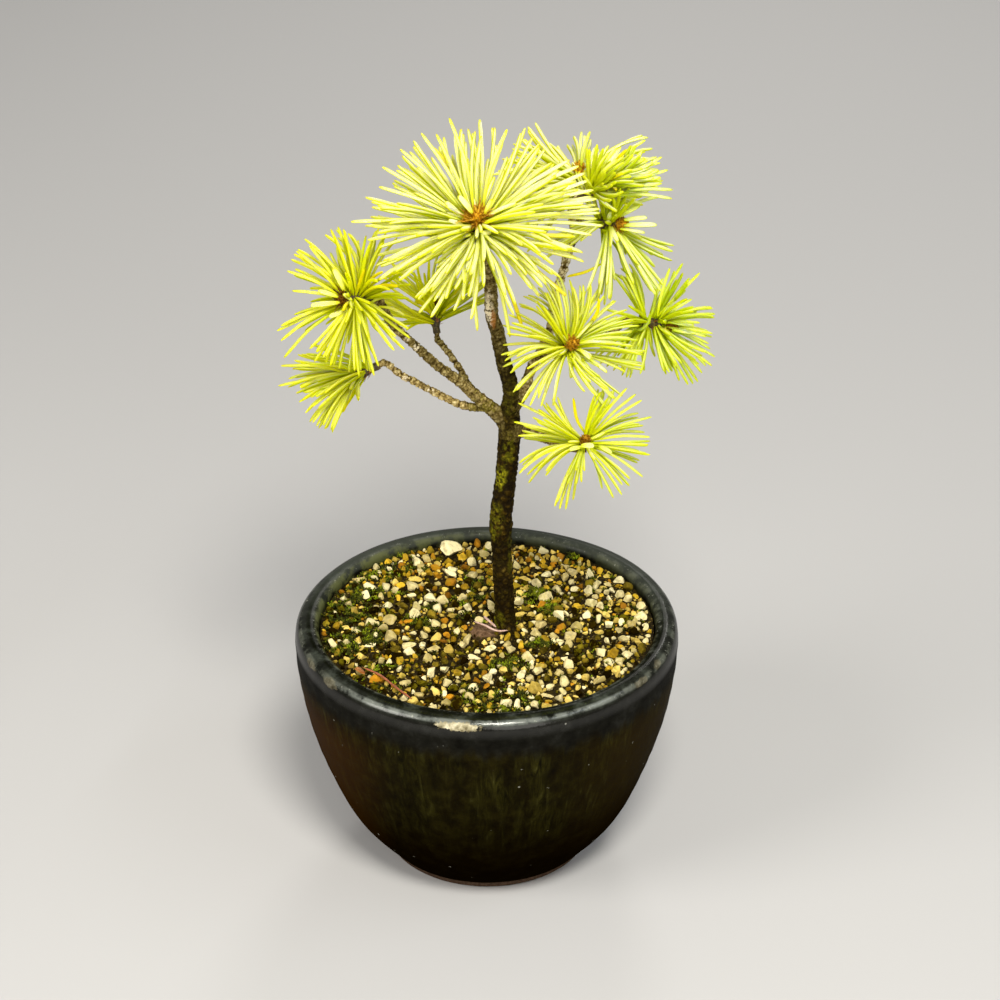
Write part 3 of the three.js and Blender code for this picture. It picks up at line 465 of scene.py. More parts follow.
def loft(rings, points=None):
    """Closed bars. rings has the shape (bars, rings, corners, 3), and points are the bars' far ends."""
    bars, steps, corners, _ = rings.shape
    ends = rings[:, [0, -1]].mean(axis=2)
    if points is not None:
        ends[:, 1] = points
    points = np.concatenate([rings.reshape(bars, -1, 3), ends], axis=1)
    here = np.arange(corners)
    after = (here + 1) % corners
    row = np.arange(steps - 1)[:, None] * corners
    around = (row + here, row + after, row + corners + after, row + corners + here)
    sides = np.stack(around, -1).reshape(-1, 4)
    top = (steps - 1) * corners
    first = np.stack([np.full(corners, steps * corners), after, here], -1)
    last = np.stack([np.full(corners, steps * corners + 1), top + here, top + after], -1)
    start = np.arange(bars)[:, None, None] * points.shape[1]
    quads = (sides[None] + start).reshape(-1, 4)
    triangles = (np.concatenate([first, last])[None] + start).reshape(-1, 3)
    return points.reshape(-1, 3), quads, triangles


def enclosed(points, faces):
    total = 0.0
    for k in range(1, faces.shape[1] - 1):
        a, b, c = points[faces[:, 0]], points[faces[:, k]], points[faces[:, k + 1]]
        total += np.einsum("ij,ij->i", a, np.cross(b, c)).sum()
    return total


def joined(parts):
    """One mesh from several, each given as points, quads and triangles."""
    start = 0
    points, quads, triangles = [], [], []
    for p, q, t in parts:
        volume = sum(enclosed(p, f) for f in (q, t) if len(f))
        if volume < 0:
            q, t = q[:, ::-1], t[:, ::-1]
        points.append(p)
        quads.append(q + start)
        triangles.append(t + start)
        start += len(p)
    return np.concatenate(points), np.concatenate(quads), np.concatenate(triangles)


NO_QUADS = np.zeros((0, 4), int)
NO_TRIANGLES = np.zeros((0, 3), int)


def raw_mesh(name, points, quads, triangles):
    mesh = bpy.data.meshes.new(name)
    corners = np.concatenate([quads.ravel(), triangles.ravel()]).astype(np.int32)
    sizes = np.concatenate([np.full(len(quads), 4), np.full(len(triangles), 3)])
    starts = np.concatenate([[0], np.cumsum(sizes)[:-1]]).astype(np.int32)
    mesh.vertices.add(len(points))
    mesh.vertices.foreach_set("co", points.astype(np.float32).ravel())
    mesh.loops.add(len(corners))
    mesh.loops.foreach_set("vertex_index", corners)
    mesh.polygons.add(len(sizes))
    mesh.polygons.foreach_set("loop_start", starts)
    mesh.update(calc_edges=True)
    return mesh


def new_object(name, data):
    made = bpy.data.objects.new(name, data)
    bpy.context.scene.collection.objects.link(made)
    return made


def make_piece(name, shape, materials, replaced=(), numbers=None, face_materials=None, smooth=True):
    """A piece of the object. numbers holds named values, one for each point."""
    points, quads, triangles = shape
    mesh = raw_mesh(name, points * MM + AXIS, quads, triangles)
    for key, values in (numbers or {}).items():
        mesh.attributes.new(key, "FLOAT", "POINT").data.foreach_set("value", values.astype(np.float32))
    for material in materials:
        mesh.materials.append(material)
    if face_materials is not None:
        mesh.polygons.foreach_set("material_index", face_materials.astype(np.int32))
    mesh.polygons.foreach_set("use_smooth", np.full(len(mesh.polygons), smooth))
    mesh.update()
    made = new_object(name, mesh)
    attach(made, "root")
    if replaced:
        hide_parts(*replaced)


# Material helpers

# Sockets of the mix node for colours: the share, the colours below and above, and the mixed colour
MIX_SHARE, MIX_BELOW, MIX_ABOVE = 0, 6, 7
MIX_COLOUR = 2


class Value:
    """A value or colour in a material, with which others are reckoned."""

    def __init__(self, look, socket):
        self.look = look
        self.socket = socket

    def math(self, operation, *others):
        return self.look.add("Math", 0, dict(enumerate((self, *others))), operation=operation)

    def __mul__(self, other):
        return self.math("MULTIPLY", other)

    def __add__(self, other):
        return self.math("ADD", other)

    def __sub__(self, other):
        return self.math("SUBTRACT", other)

    def __truediv__(self, other):
        return self.math("DIVIDE", other)

    def most(self, other):
        return self.math("MAXIMUM", other)

    def rest(self):
        """What is left of 1."""
        return self.look.add("Math", 0, {0: 1.0, 1: self}, operation="SUBTRACT")

    def span(self, low, high, to_low=0.0, to_high=1.0):
        inputs = {"Value": self, "From Min": low, "From Max": high, "To Min": to_low, "To Max": to_high}
        return self.look.add("MapRange", "Result", inputs, interpolation_type="SMOOTHSTEP")

    def ramp(self, *stops):
        """The colour between stops, each a position and a red, green and blue."""
        colours = self.look.add("ValToRGB", "Color", {"Fac": self})
        elements = colours.socket.node.color_ramp.elements
        while len(elements) < len(stops):
            elements.new(0.5)
        for element, (position, *colour) in zip(elements, stops):
            element.position = position
            element.color = (*colour, 1)
        return colours

    def bump(self, distance, strength=1.0, below=None):
        """The normal of this relief, laid over another where one is given."""
        inputs = {"Height": self, "Distance": distance * MM, "Strength": strength}
        if below:
            inputs["Normal"] = below
        return self.look.add("Bump", "Normal", inputs)


class Look:
    """A material in the making: its nodes, the point's place in millimetres, and the colour laid so far."""

    def __init__(self, name):
        self.material = bpy.data.materials.new(name)
        self.material.use_nodes = True
        self.nodes = self.material.node_tree.nodes
        self.links = self.material.node_tree.links
        self.nodes.clear()
        self.shader = self.nodes.new("ShaderNodeBsdfPrincipled")
        output = self.nodes.new("ShaderNodeOutputMaterial")
        self.links.new(self.shader.outputs["BSDF"], output.inputs["Surface"])
        place = self.add("TexCoord", "Object", {})
        inputs = {"Vector": place, "Location": tuple(-AXIS / MM), "Scale": (1 / MM,) * 3}
        self.place = self.add("Mapping", "Vector", inputs)

    def fill(self, socket, value):
        if isinstance(value, Value):
            self.links.new(value.socket, socket)
        else:
            socket.default_value = (*value, 1) if socket.type == "RGBA" else value

    def add(self, kind, output, inputs, **settings):
        """The named output of a new node."""
        node = self.nodes.new("ShaderNode" + kind)
        for key, value in settings.items():
            setattr(node, key, value)
        for key, value in inputs.items():
            self.fill(node.inputs[key], value)
        return Value(self, node.outputs[output])

    def number(self, name):
        return self.add("Attribute", "Fac", {}, attribute_name=name)

    def axes(self):
        return [self.add("SeparateXYZ", axis, {"Vector": self.place}) for axis in "XYZ"]

    def noise(self, size, detail=3, roughness=0.5, distortion=0.0, vector=None):
        inputs = {"Scale": 1 / size, "Detail": detail, "Roughness": roughness, "Distortion": distortion}
        return self.add("TexNoise", "Fac", {"Vector": vector or self.place, **inputs})

    def cells(self, size):
        return self.add("TexVoronoi", "Distance", {"Vector": self.place, "Scale": 1 / size})

    def mark(self, spot, reach, raggedness):
        """A ragged mark round a spot, from 0 outside to 1 inside."""
        spot, reach = np.array(spot), np.array(reach)
        inputs = {"Vector": self.place, "Location": tuple(-spot / reach), "Scale": tuple(1 / reach)}
        offset = self.add("Mapping", "Vector", inputs)
        distance = self.add("VectorMath", "Value", {0: offset}, operation="LENGTH")
        return (distance + (raggedness - 0.5) * 1.6).span(1.0, 0.75)

    def lay(self, share, colour, mode="MIX"):
        """Lays a colour over the one so far, by that share."""
        inputs = {MIX_SHARE: share, MIX_BELOW: self.colour, MIX_ABOVE: colour}
        self.colour = self.add("Mix", MIX_COLOUR, inputs, data_type="RGBA", blend_type=mode)

    def done(self, **values):
        """The material. values fill the shader's other sockets."""
        for key, value in {"Base_Color": self.colour, **values}.items():
            self.fill(self.shader.inputs[key.replace("_", " ")], value)
        return self.material


# Curves of the limbs


def catmull_rom(points, t):
    """The centripetal curve through the points, at shares t of its spans."""
    points = np.vstack([2 * points[0] - points[1], points, 2 * points[-1] - points[-2]])
    spans = len(points) - 3
    place = np.clip(t, 0, 1) * spans
    k = np.minimum(place.astype(int), spans - 1)
    w = (place - k)[:, None]
    p0, p1, p2, p3 = (points[k + i] for i in range(4))
    d0, d1, d2 = (np.sqrt(np.linalg.norm(b - a, axis=1))[:, None] for a, b in ((p0, p1), (p1, p2), (p2, p3)))
    t1 = d1 * ((p1 - p0) / d0 - (p2 - p0) / (d0 + d1) + (p2 - p1) / d1)
    t2 = d1 * ((p2 - p1) / d1 - (p3 - p1) / (d1 + d2) + (p3 - p2) / d2)
    return p1 + t1 * w + (3 * p2 - 3 * p1 - 2 * t1 - t2) * w**2 + (2 * p1 - 2 * p2 + t1 + t2) * w**3


def along_curve(points, shares):
    """Points at those shares of the curve's length, and the length."""
    t = np.linspace(0, 1, 201)
    line = catmull_rom(points, t)
    lengths = np.concatenate([[0], np.cumsum(np.linalg.norm(np.diff(line, axis=0), axis=1))])
    return catmull_rom(points, np.interp(np.asarray(shares) * lengths[-1], lengths, t)), lengths[-1]


def limb_points(limb):
    plan = SPRAYS[limb[0]]
    end = plan.base - GAP * plan.axis
    return np.vstack([np.array(limb[3], float), end - 2 * plan.axis, end])


def along_list(values, share):
    return np.interp(share, np.linspace(0, 1, len(values)), values)


# The rule that places the bundles of needles, the same as the solids follow. A capsule is a straight piece
# with a radius, given as a row of two points and the radius.


def segment_distances(p1, q1, p2, q2):
    """Least distances between two sets of straight pieces, as a table."""
    p1, q1, p2, q2 = p1[:, None], q1[:, None], p2[None], q2[None]
    d1, d2, r = q1 - p1, q2 - p2, p1 - p2
    a, e, b = (d1 * d1).sum(-1), (d2 * d2).sum(-1), (d1 * d2).sum(-1)
    c, f = (d1 * r).sum(-1), (d2 * r).sum(-1)
    spread = a * e - b * b
    s = np.where(spread > 1e-9, np.clip((b * f - c * e) / np.maximum(spread, 1e-9), 0, 1), 0)
    t = np.clip((b * s + f) / e, 0, 1)
    s = np.clip((b * t - c) / a, 0, 1)
    return np.linalg.norm(p1 + d1 * s[..., None] - p2 - d2 * t[..., None], axis=-1)


def is_clear(points, capsules, clearance):
    if len(capsules) == 0:
        return True
    points = np.array(points)
    gaps = segment_distances(points[:-1], points[1:], capsules[:, 0:3], capsules[:, 3:6])
    return bool((gaps >= NEEDLE_RADIUS + capsules[:, 6] + clearance).all())


def shoot_capsules(plan):
    top = plan.bud_foot + plan.axis * BUD_LENGTH * 0.7
    return [[*plan.base, *plan.tip, plan.stem * SHOOT_SWELL], [*plan.bud_foot, *top, BUD_RADIUS]]


def limb_capsules(limb):
    steps = limb[2]
    shares = np.linspace(0, 1, steps + 1)
    line, _ = along_curve(limb_points(limb), shares)
    radii = along_list(limb[1], shares)
    return [[*line[k], *line[k + 1], 1.1 * max(radii[k], radii[k + 1])] for k in range(steps)]


def plan_bundles(plan):
    """A spray's bundles, each as a function that places it at a turn and tilt."""
    draw = random_stream(plan.seed)
    bundles = []
    for order in range(plan.bundles):
        root, opening = plan.place_on((order + 0.5) / plan.bundles)
        angle = math.radians(plan.spin) + order * GOLDEN_ANGLE + (draw() - 0.5) * TURN_SPREAD
        middle = plan.opened(plan.around(angle), opening + (draw() - 0.5) * OPENING_SPREAD)
        phase = draw() * 2 * math.pi
        bend_angle = draw() * 2 * math.pi
        bend = NEEDLE_BEND * (0.3 + draw())
        bent = draw() < BENT_SHARE
        length = plan.length * (0.9 + 0.14 * draw())
        members = []
        for member in range(BUNDLE_SIZE):
            opened = math.radians(BUNDLE_OPENING * (0.55 + 0.9 * draw()))
            around = phase + member * 2 * math.pi / BUNDLE_SIZE
            members.append((around, opened, length * (0.93 + 0.1 * draw()) - PALM_REACH))
        bundles.append(partial(place_bundle, plan, root, middle, bend_angle, bend, bent, members))
    return bundles


def place_bundle(plan, root, middle, bend_angle, bend, bent, members, turn, tilt):
    """A bundle moved by that turn and tilt. Each of its needles is its points and its outward direction."""
    hinge = unit(np.cross(plan.axis, middle))
    middle = rotated(rotated(middle, hinge, math.radians(tilt)), plan.axis, math.radians(turn))
    across, up = square_to(middle)
    bend = turned(across, up, bend_angle) * bend
    needles = []
    for around, opened, length in members:
        away = turned(across, up, around)
        direction = turned(middle, away, opened)
        start = root + middle * PALM_REACH + away * PALM_RADIUS * 0.55
        tip = start + direction * length - bend * 0.3 * length
        tip[2] -= plan.droop * length
        points = [start, tip]
        if bent:
            half = start + direction * length / 2 + bend * length
            half[2] -= plan.droop * length / 4
            points.insert(1, half)
        needles.append((points, away))
    return {"root": root, "middle": middle, "bend": bend, "needles": needles}


def bend_clear(points, others):
    """A needle's points as they are if they are clear of the others, else bent clear, else None."""
    if is_clear(points, others, CLEARANCE):
        return points
    start, tip = points[0], points[-1]
    length = np.linalg.norm(tip - start)
    across, up = square_to((tip - start) / length)
    for shift, way in itertools.product(BEND_SHIFTS, range(BEND_WAYS)):
        move = turned(across, up, way * 2 * math.pi / BEND_WAYS) * shift * length
        bent = [start, (start + tip) / 2 + move * 0.25, tip + move]
        if is_clear(bent, others, CLEARANCE):
            return bent
    return None


def settle_bundle(place, others, own):
    """A bundle where most of its needles are clear, without those that can't be bent clear."""
    best = (-1, None)
    for tilt, turn in itertools.product(BUNDLE_TILTS, BUNDLE_TURNS):
        placed = place(turn, tilt)
        free = sum(is_clear(points, others, CLEARANCE) for points, _ in placed["needles"])
        apart = sum(is_clear(points, own, 0) for points, _ in placed["needles"])
        score = FREE_WEIGHT * free + apart
        if score > best[0]:
            best = (score, placed)
        if score == (FREE_WEIGHT + 1) * BUNDLE_SIZE:
            return placed
    placed = best[1]
    bent = [(bend_clear(points, others), away) for points, away in placed["needles"]]
    placed["needles"] = [needle for needle in bent if needle[0]]
    return placed


def needle_capsules(points):
    return [[*points[k], *points[k + 1], NEEDLE_RADIUS] for k in range(len(points) - 1)]


def place_singles(plan, others):
    """Single needles between the bundles, each as its foot, direction and tip."""
    rng = plan.draws("singles")
    found = []
    for _ in range(plan.singles):
        for _ in range(SINGLE_TRIES):
            place, opening = plan.place_on(rng.uniform(0.1, 1))
            outward = plan.around(rng.uniform(0, 2 * math.pi))
            direction = plan.opened(outward, opening + rng.uniform(-16, 10))
            foot = place + direction * 0.6
            length = plan.length * rng.uniform(0.45, 0.97)
            tip = foot + direction * length - np.array([0, 0, plan.droop * length])
            if is_clear([foot + direction * 2, tip], others, CLEARANCE):
                found.append((foot, direction, tip))
                break
    return found


def place_sprays():
    """The settled bundles of every spray, and the single needles that stand between them."""
    rows = [row for limb in LIMBS for row in limb_capsules(limb)]
    owners = ["wood"] * len(rows)

    def own(name, added):
        rows.extend(added)
        owners.extend([name] * len(added))

    def others_of(name, plan):
        table = np.array(rows)
        distances = np.linalg.norm(table[:, 0:3] - (plan.base + plan.tip) / 2, axis=1)
        near = distances < plan.length + LONGEST_NEEDLE
        return table[near & (np.array(owners) != name)]

    for name, plan in SPRAYS.items():
        own(name, shoot_capsules(plan))
    settled, singles = {}, {}
    for name, plan in SPRAYS.items():
        others = others_of(name, plan)
        added = []
        settled[name] = []
        for bundle in plan_bundles(plan):
            placed = settle_bundle(bundle, others, np.array(added).reshape(-1, 7))
            if len(placed["needles"]) >= FEWEST_NEEDLES:
                settled[name].append(placed)
                added += [row for points, _ in placed["needles"] for row in needle_capsules(points)]
        own(name, added)
    for name, plan in SPRAYS.items():
        singles[name] = place_singles(plan, others_of(name, plan))
        own(name, [row for foot, _, tip in singles[name] for row in needle_capsules([foot, tip])])
    return settled, singles


# Needles: slim three-cornered blades with a rounded back and a pointed tip

NEEDLE_STATIONS = (0, 0.05, 0.13, 0.25, 0.38, 0.52, 0.66)
BASE_WIDTHS = (0.5, 0.62, 0.76, 0.88, 0.96, 1.01, 1.02)
# Distance from the tip and share of the full width
TIP_STATIONS = ((3.4, 0.99), (1.9, 0.92), (0.95, 0.8), (0.4, 0.6), (0.1, 0.34))
# A short needle's point takes this share of it
TIP_SHARE = 0.3
SECTION_ANGLES = np.radians([0, 60, 122, 180, 238, 300])
SECTION_RADII = np.array([0.41, 0.55, 0.35, 0.47, 0.35, 0.55]) * NEEDLE_WIDTH / 0.95
SECTION_STRIPES = (0, 0, 1, 0, 1, 0)
# The side the key light comes from: the needles are painted paler there as a highlight, and darker on the far
# side as painted shade
KEY_LIGHT_SIDE = np.array([0.1, -0.55, 0.83])
# The back of a loose needle is turned this way
LOOSE_FACING = np.array([0.2, -0.5, 0.84])


def needle_stations(length):
    """Shares of a needle's length at which it has a ring, closer together towards the tip."""
    point = min(1, TIP_SHARE * length / TIP_STATIONS[0][0]) / length
    return np.array([*NEEDLE_STATIONS, *(1 - d * point for d, _ in TIP_STATIONS)])


def needle_skin(line, t, away, twist, thick):
    """The rings of a needle along a line, with its back turned towards away."""
    widths = np.array([*BASE_WIDTHS, *(w for _, w in TIP_STATIONS)]) * thick
    tangent = unit(np.gradient(line, t, axis=0))
    facing = unit(away - tangent * (tangent @ away)[:, None])
    angles = SECTION_ANGLES[None, :] + twist * t[:, None]
    radii = SECTION_RADII[None, :] * widths[:, None]
    return tube(line, facing, np.cross(tangent, facing), radii, angles), t


def needle_rings(foot, middle, start, sag, tip, away, twist, thick):
    """The rings of one needle that leaves the shoot along middle, arches by sag and ends at tip."""
    length = np.linalg.norm(tip - foot)
    direction = unit(tip - start)
    t = needle_stations(length)
    p1 = foot + unit(0.45 * middle + 0.55 * direction) * length * 0.33
    p2 = tip - direction * length * 0.33
    w = t[:, None]
    line = foot * (1 - w) ** 3 + 3 * p1 * w * (1 - w) ** 2 + 3 * p2 * w**2 * (1 - w) + tip * w**3
    return needle_skin(line + 4 * w * (1 - w) * sag, t, away, twist, thick)


def spray_needles(name, plan, bundles, singles):
    rng = plan.draws("needles")
    needles = []
    for bundle in bundles:
        bundle_tone = rng.uniform(0, 1)
        middle = bundle["middle"]
        for points, away in bundle["needles"]:
            length = np.linalg.norm(points[-1] - points[0])
            arch = np.array([0, 0, 0.035 * np.linalg.norm(middle[:2]) * length])
            sag = bundle["bend"] * length * rng.uniform(0.9, 1.9) + arch
            if len(points) == 3:
                sag = sag + points[1] - (points[0] + points[2]) / 2
            foot = bundle["root"] + middle * 0.5 + away * 0.35
            tip = points[-1] + rng.normal(0, 0.25, 3)
            rings = needle_rings(
                foot, middle, points[0], sag, tip, away, rng.uniform(-0.9, 0.9),
                plan.thick * rng.uniform(0.92, 1.06))
            needles.append((*rings, 0.5 * bundle_tone + 0.5 * rng.uniform(0, 1), plan.pale))
    young = [(*needle, min(1, plan.pale + 0.25)) for needle in young_needles(plan, rng)]
    for foot, direction, tip, thick, pale in [(*single, 1.0, plan.pale) for single in singles] + young:
        length = np.linalg.norm(tip - foot)
        away, up = square_to(direction)
        sag = (away * rng.uniform(-0.05, 0.05) + up * rng.uniform(-0.02, 0.06)) * length
        rings = needle_rings(
            foot, direction, foot, sag, tip, away, rng.uniform(-0.9, 0.9),
            thick * plan.thick * rng.uniform(0.9, 1.02))
        needles.append((*rings, rng.uniform(0.1, 1), pale))
    for thick, pale, first_y, *rows in LOOSE_NEEDLES.get(name, ()):
        for tone, last_y, *sides in rows:
            path = np.stack([sides[::2], np.linspace(first_y, last_y, len(sides) // 2), sides[1::2]], -1)
            t = needle_stations(along_curve(path, [1.0])[1])
            rings = needle_skin(along_curve(path, t)[0], t, LOOSE_FACING, 0.0, thick)
            needles.append((*rings, tone, pale))
    rings = np.array([needle[0] for needle in needles])
    corners = rings.shape[2]
    per = rings.shape[1] * corners + 2
    # lift: how far each point of a needle faces the key light, which steers the needles' painted highlight
    # and painted shade
    lift = ((rings - rings.mean(axis=2, keepdims=True)) @ unit(KEY_LIGHT_SIDE)).reshape(len(needles), -1)
    stripe = np.tile(SECTION_STRIPES, rings.shape[1])
    numbers = {
        "reach": np.concatenate([[*np.repeat(t, corners), t[0], 1.0] for _, t, _, _ in needles]),
        "lift": 0.5 + np.pad(lift, ((0, 0), (0, 2))).ravel() / NEEDLE_WIDTH,
        "stripe": np.tile(np.concatenate([stripe, [0, 0]]), len(needles)),
        "tone": np.repeat([needle[2] for needle in needles], per),
        "pale": np.repeat([needle[3] for needle in needles], per),
    }
    last = rings[:, -1].mean(axis=1)
    ends = last + 0.12 * unit(last - rings[:, -2].mean(axis=1))
    make_piece(
        f"needles_{name}.fine", joined([loft(rings, ends)]), [NEEDLE_MATERIAL], [f"needles_{name}"],
        numbers, smooth=False)


def young_needles(plan, rng):
    """Short thick bundles, still closed, round the bud: each its foot, direction, tip and thickness."""
    found = []
    for order in range(int(3 + 8 * plan.rosette)):
        outward = plan.around(order * GOLDEN_ANGLE + rng.uniform(-0.4, 0.4))
        direction = plan.opened(outward, rng.uniform(45, 74))
        foot = plan.tip - plan.axis * rng.uniform(0.1, 1.5) + outward * 0.7
        tip = foot + direction * plan.length * rng.uniform(0.2, 0.42)
        found.append((foot, direction, tip, rng.uniform(1.05, 1.4)))
    return found


def needle_material():
    look = Look("needle")
    reach, tone, pale, lift = (look.number(name) for name in ("reach", "tone", "pale", "lift"))
    mottle = look.noise(2.2)
    look.colour = (tone * 0.75 + mottle * 0.25).ramp(
        (0.12, 0.29, 0.36, 0.0), (0.36, 0.44, 0.5, 0.0), (0.64, 0.6, 0.62, 0.003), (0.92, 0.72, 0.7, 0.006))
    # Pale needles fade towards their tips, most on the side that faces the key light, so this is partly
    # painted highlight
    faded_and_lit = pale * reach.span(0.2, 0.95, 0.0, 0.6) * lift.span(0.3, 0.75, 0.3, 1.0)
    look.lay(faded_and_lit, (0.85, 0.88, 0.05))
    # The two inner faces carry pale lines; a painted highlight lightens the side that faces the key light,
    # and painted shade makes the far side deeper green
    lines = look.number("stripe").span(0.35, 0.75) * reach.span(0.02, 0.2)
    look.lay(lines * 0.15, (0.84, 0.87, 0.03))
    painted_lit_side = lift.span(0.62, 0.9) * reach.span(0.03, 0.6, 0.2, 1.0) * pale.span(0.0, 0.9, 0.34, 1.0)
    look.lay(painted_lit_side, (0.95, 0.94, 0.42))
    look.lay(lift.span(0.4, 0.05, 0.0, 0.55), (0.33, 0.4, 0.0))
    # Painted shade darkens each needle's base near the shoot, where the needles crowd
    look.lay(reach.span(0.22, 0.0) * 0.5, (0.36, 0.38, 0.002))
    # Painted light brightens the sprays on the left of the tree, which fall in shade, and the right is
    # greener
    across, _, _ = look.axes()
    look.lay(across.span(-4, -34), (1.05, 1.05, 0.85), "MULTIPLY")
    look.lay(across.span(12, 50), (0.88, 1.0, 1.0), "MULTIPLY")
    # Old needles turn gold, and a few tips brown
    look.lay(tone.span(0.955, 0.965) * reach.span(0.1, 0.6) * 0.8, (0.76, 0.58, 0.002))
    look.lay(reach.span(0.965, 1.0) * tone.span(0.6, 0.3) * 0.55, (0.62, 0.4, 0.1))
    # A thin wax coat gives the gloss, so that the pale floor does not veil the needles' sides
    return look.done(
        Roughness=mottle.span(0.3, 0.7, 0.4, 0.55), Normal=look.noise(0.35, 2).bump(0.02, 0.5),
        Subsurface_Weight=0.8, Subsurface_Radius=(0.0012, 0.0011, 0.0001), Subsurface_Scale=1.0,
        Specular_IOR_Level=0.0, Coat_Weight=0.05, Coat_Roughness=0.3)


# Shoots between the limbs and the buds, with small scales under each bundle

SHOOT_RINGS = 26
SHOOT_SIDES = 16
# A scale's width at shares of its length
BLADE_STATIONS = np.array([0, 0.12, 0.35, 0.6, 0.82, 1.0])
BLADE_WIDTHS = np.array([0.55, 0.85, 1.0, 0.8, 0.42, 0.06])


def blades(rows, thick=0.07):
    """Small pointed scales as closed blades, each its foot, direction, facing, length, width and the bend
    towards its facing."""
    s = BLADE_STATIONS[:, None]
    shape = BLADE_WIDTHS[:, None]
    rings = []
    for foot, direction, facing, length, width, bend in rows:
        direction = unit(np.array(direction, float))
        facing = unit(facing - direction * (direction @ facing))
        line = foot + direction * length * s + facing * bend * length * s**2
        half = np.cross(direction, facing) * (shape * width / 2)
        dish = facing * width * 0.18 * shape
        up = facing * thick / 2
        rings.append(np.stack([line + half, line + up - dish, line - half, line - up - dish], axis=1))
    return loft(np.array(rings))


def around_all(axis, corners):
    """Directions all round an axis."""
    across, up = square_to(axis)
    angles = circle(corners)[:, None]
    return across[None] * np.cos(angles) + up[None] * np.sin(angles)


def spray_shoot(name, plan, bundles):
    rng = plan.draws("shoot")
    axis = plan.axis
    shares = np.linspace(-0.9 / plan.long, 1 + 0.2 / plan.long, SHOOT_RINGS)
    radius = np.interp(shares, [0, 0.5, 1], [plan.stem * 1.02, plan.stem * SHOOT_SWELL, 0.95])
    out = around_all(axis, SHOOT_SIDES)
    surface = plan.base + axis * (shares * plan.long)[:, None, None] + out[None] * radius[:, None, None]
    flat = surface.reshape(-1, 3)
    lift = 0.16 * fractal(flat, 0.9, plan.seed, 2)
    for bundle in bundles:
        spot = bundle["root"] + bundle["middle"] * plan.stem
        lift += 0.3 * np.exp(-((np.linalg.norm(flat - spot, axis=1) / 0.75) ** 2))
    rings = surface + out[None] * lift.reshape(surface.shape[:2])[..., None]
    feet, directions, facings = [], [], []
    for bundle in bundles:
        outward = unit(bundle["middle"] - axis * (axis @ bundle["middle"]))
        for k in range(2):
            lean = rotated(outward, axis, rng.uniform(-0.5, 0.5))
            feet.append(bundle["root"] - axis * (0.7 - 0.3 * k) + lean * plan.stem * 0.85)
            directions.append(lean * rng.uniform(0.5, 0.9) + axis * rng.uniform(0.5, 0.9))
            facings.append(-lean)
    measures = (rng.uniform(low, high, len(feet)) for low, high in ((1.1, 2.0), (0.5, 0.8), (-0.5, 0.1)))
    shape = joined([loft(rings[None]), blades(zip(feet, directions, facings, *measures))])
    papery = np.zeros(len(shape[0]))
    papery[len(flat) + 2:] = 1
    make_piece(f"shoot_{name}", shape, [SHOOT_MATERIAL], (), {"papery": papery})


def shoot_material():
    look = Look("shoot")
    mottle = look.noise(0.8, 4, 0.6)
    look.colour = mottle.ramp(
        (0.3, 0.012, 0.008, 0.003), (0.5, 0.05, 0.032, 0.008), (0.72, 0.17, 0.12, 0.025))
    look.lay(look.number("papery"), mottle.ramp(
        (0.3, 0.06, 0.02, 0.006), (0.55, 0.25, 0.085, 0.015), (0.78, 0.5, 0.24, 0.05)))
    return look.done(Roughness=mottle.span(0.3, 0.7, 0.75, 0.5), Normal=look.noise(0.3).bump(0.06))


# Buds: a pointed core of close scales in a star of dry papery ones

BUD_SIDES = 12
TIGHT_SCALES = 26
# How golden each bud's scales are
BUD_GOLD = {
    "crown": 1.0, "upper_back": 1.0, "upper_right": 0.9, "upper_right_front": 0.95, "right": 0.25,
    "middle_right": 0.7, "low_right": 0.5, "left": 0.15, "low_left": 0.1, "back_left": 0.1,
}


def spray_bud(name, plan):
    rng = plan.draws("bud")
    axis, foot, size = plan.axis, plan.bud_foot, plan.rosette
    shares = np.array([0, 0.12, 0.3, 0.5, 0.7, 0.86, 0.96])
    radii = BUD_RADIUS * np.array([0.6, 0.85, 1.0, 0.92, 0.66, 0.36, 0.12])
    centre = foot - axis * 0.4 + axis * (shares * BUD_LENGTH * 0.9)[:, None]
    core = centre[:, None] + around_all(axis, BUD_SIDES)[None] * radii[:, None, None]
    scales = []
    for k in range(TIGHT_SCALES):
        share = k / TIGHT_SCALES
        away = plan.around(k * GOLDEN_ANGLE)
        radius = np.interp(share * 0.8, shares, radii)
        scales.append((
            foot - axis * 0.4 + axis * share * 0.75 * BUD_LENGTH + away * radius * 0.8,
            axis + away * rng.uniform(0.05, 0.4), away,
            rng.uniform(1.0, 1.6), rng.uniform(0.6, 0.9), rng.uniform(-0.25, 0.2),
        ))
    for k in range(int(10 + 66 * size)):
        away = plan.around(k * GOLDEN_ANGLE + 0.4)
        scales.append((
            foot - axis * rng.uniform(-1.5, 0.9) + away * 0.8,
            axis * rng.uniform(0.2, 1.1) + away * rng.uniform(0.7, 1.3), axis,
            size * rng.uniform(2.0, 4.4), rng.uniform(0.45, 0.85), rng.uniform(-0.3, 0.35),
        ))
    shape = joined([loft(core[None]), blades(scales, 0.06)])
    offset = shape[0] - foot
    rise = offset @ axis
    numbers = {
        "rise": rise / BUD_LENGTH,
        "spread": np.linalg.norm(offset - rise[:, None] * axis, axis=1) / BUD_LENGTH,
        "gold": np.full(len(offset), BUD_GOLD[name]),
    }
    make_piece(f"bud_{name}.fine", shape, [BUD_MATERIAL], [f"bud_{name}"], numbers)


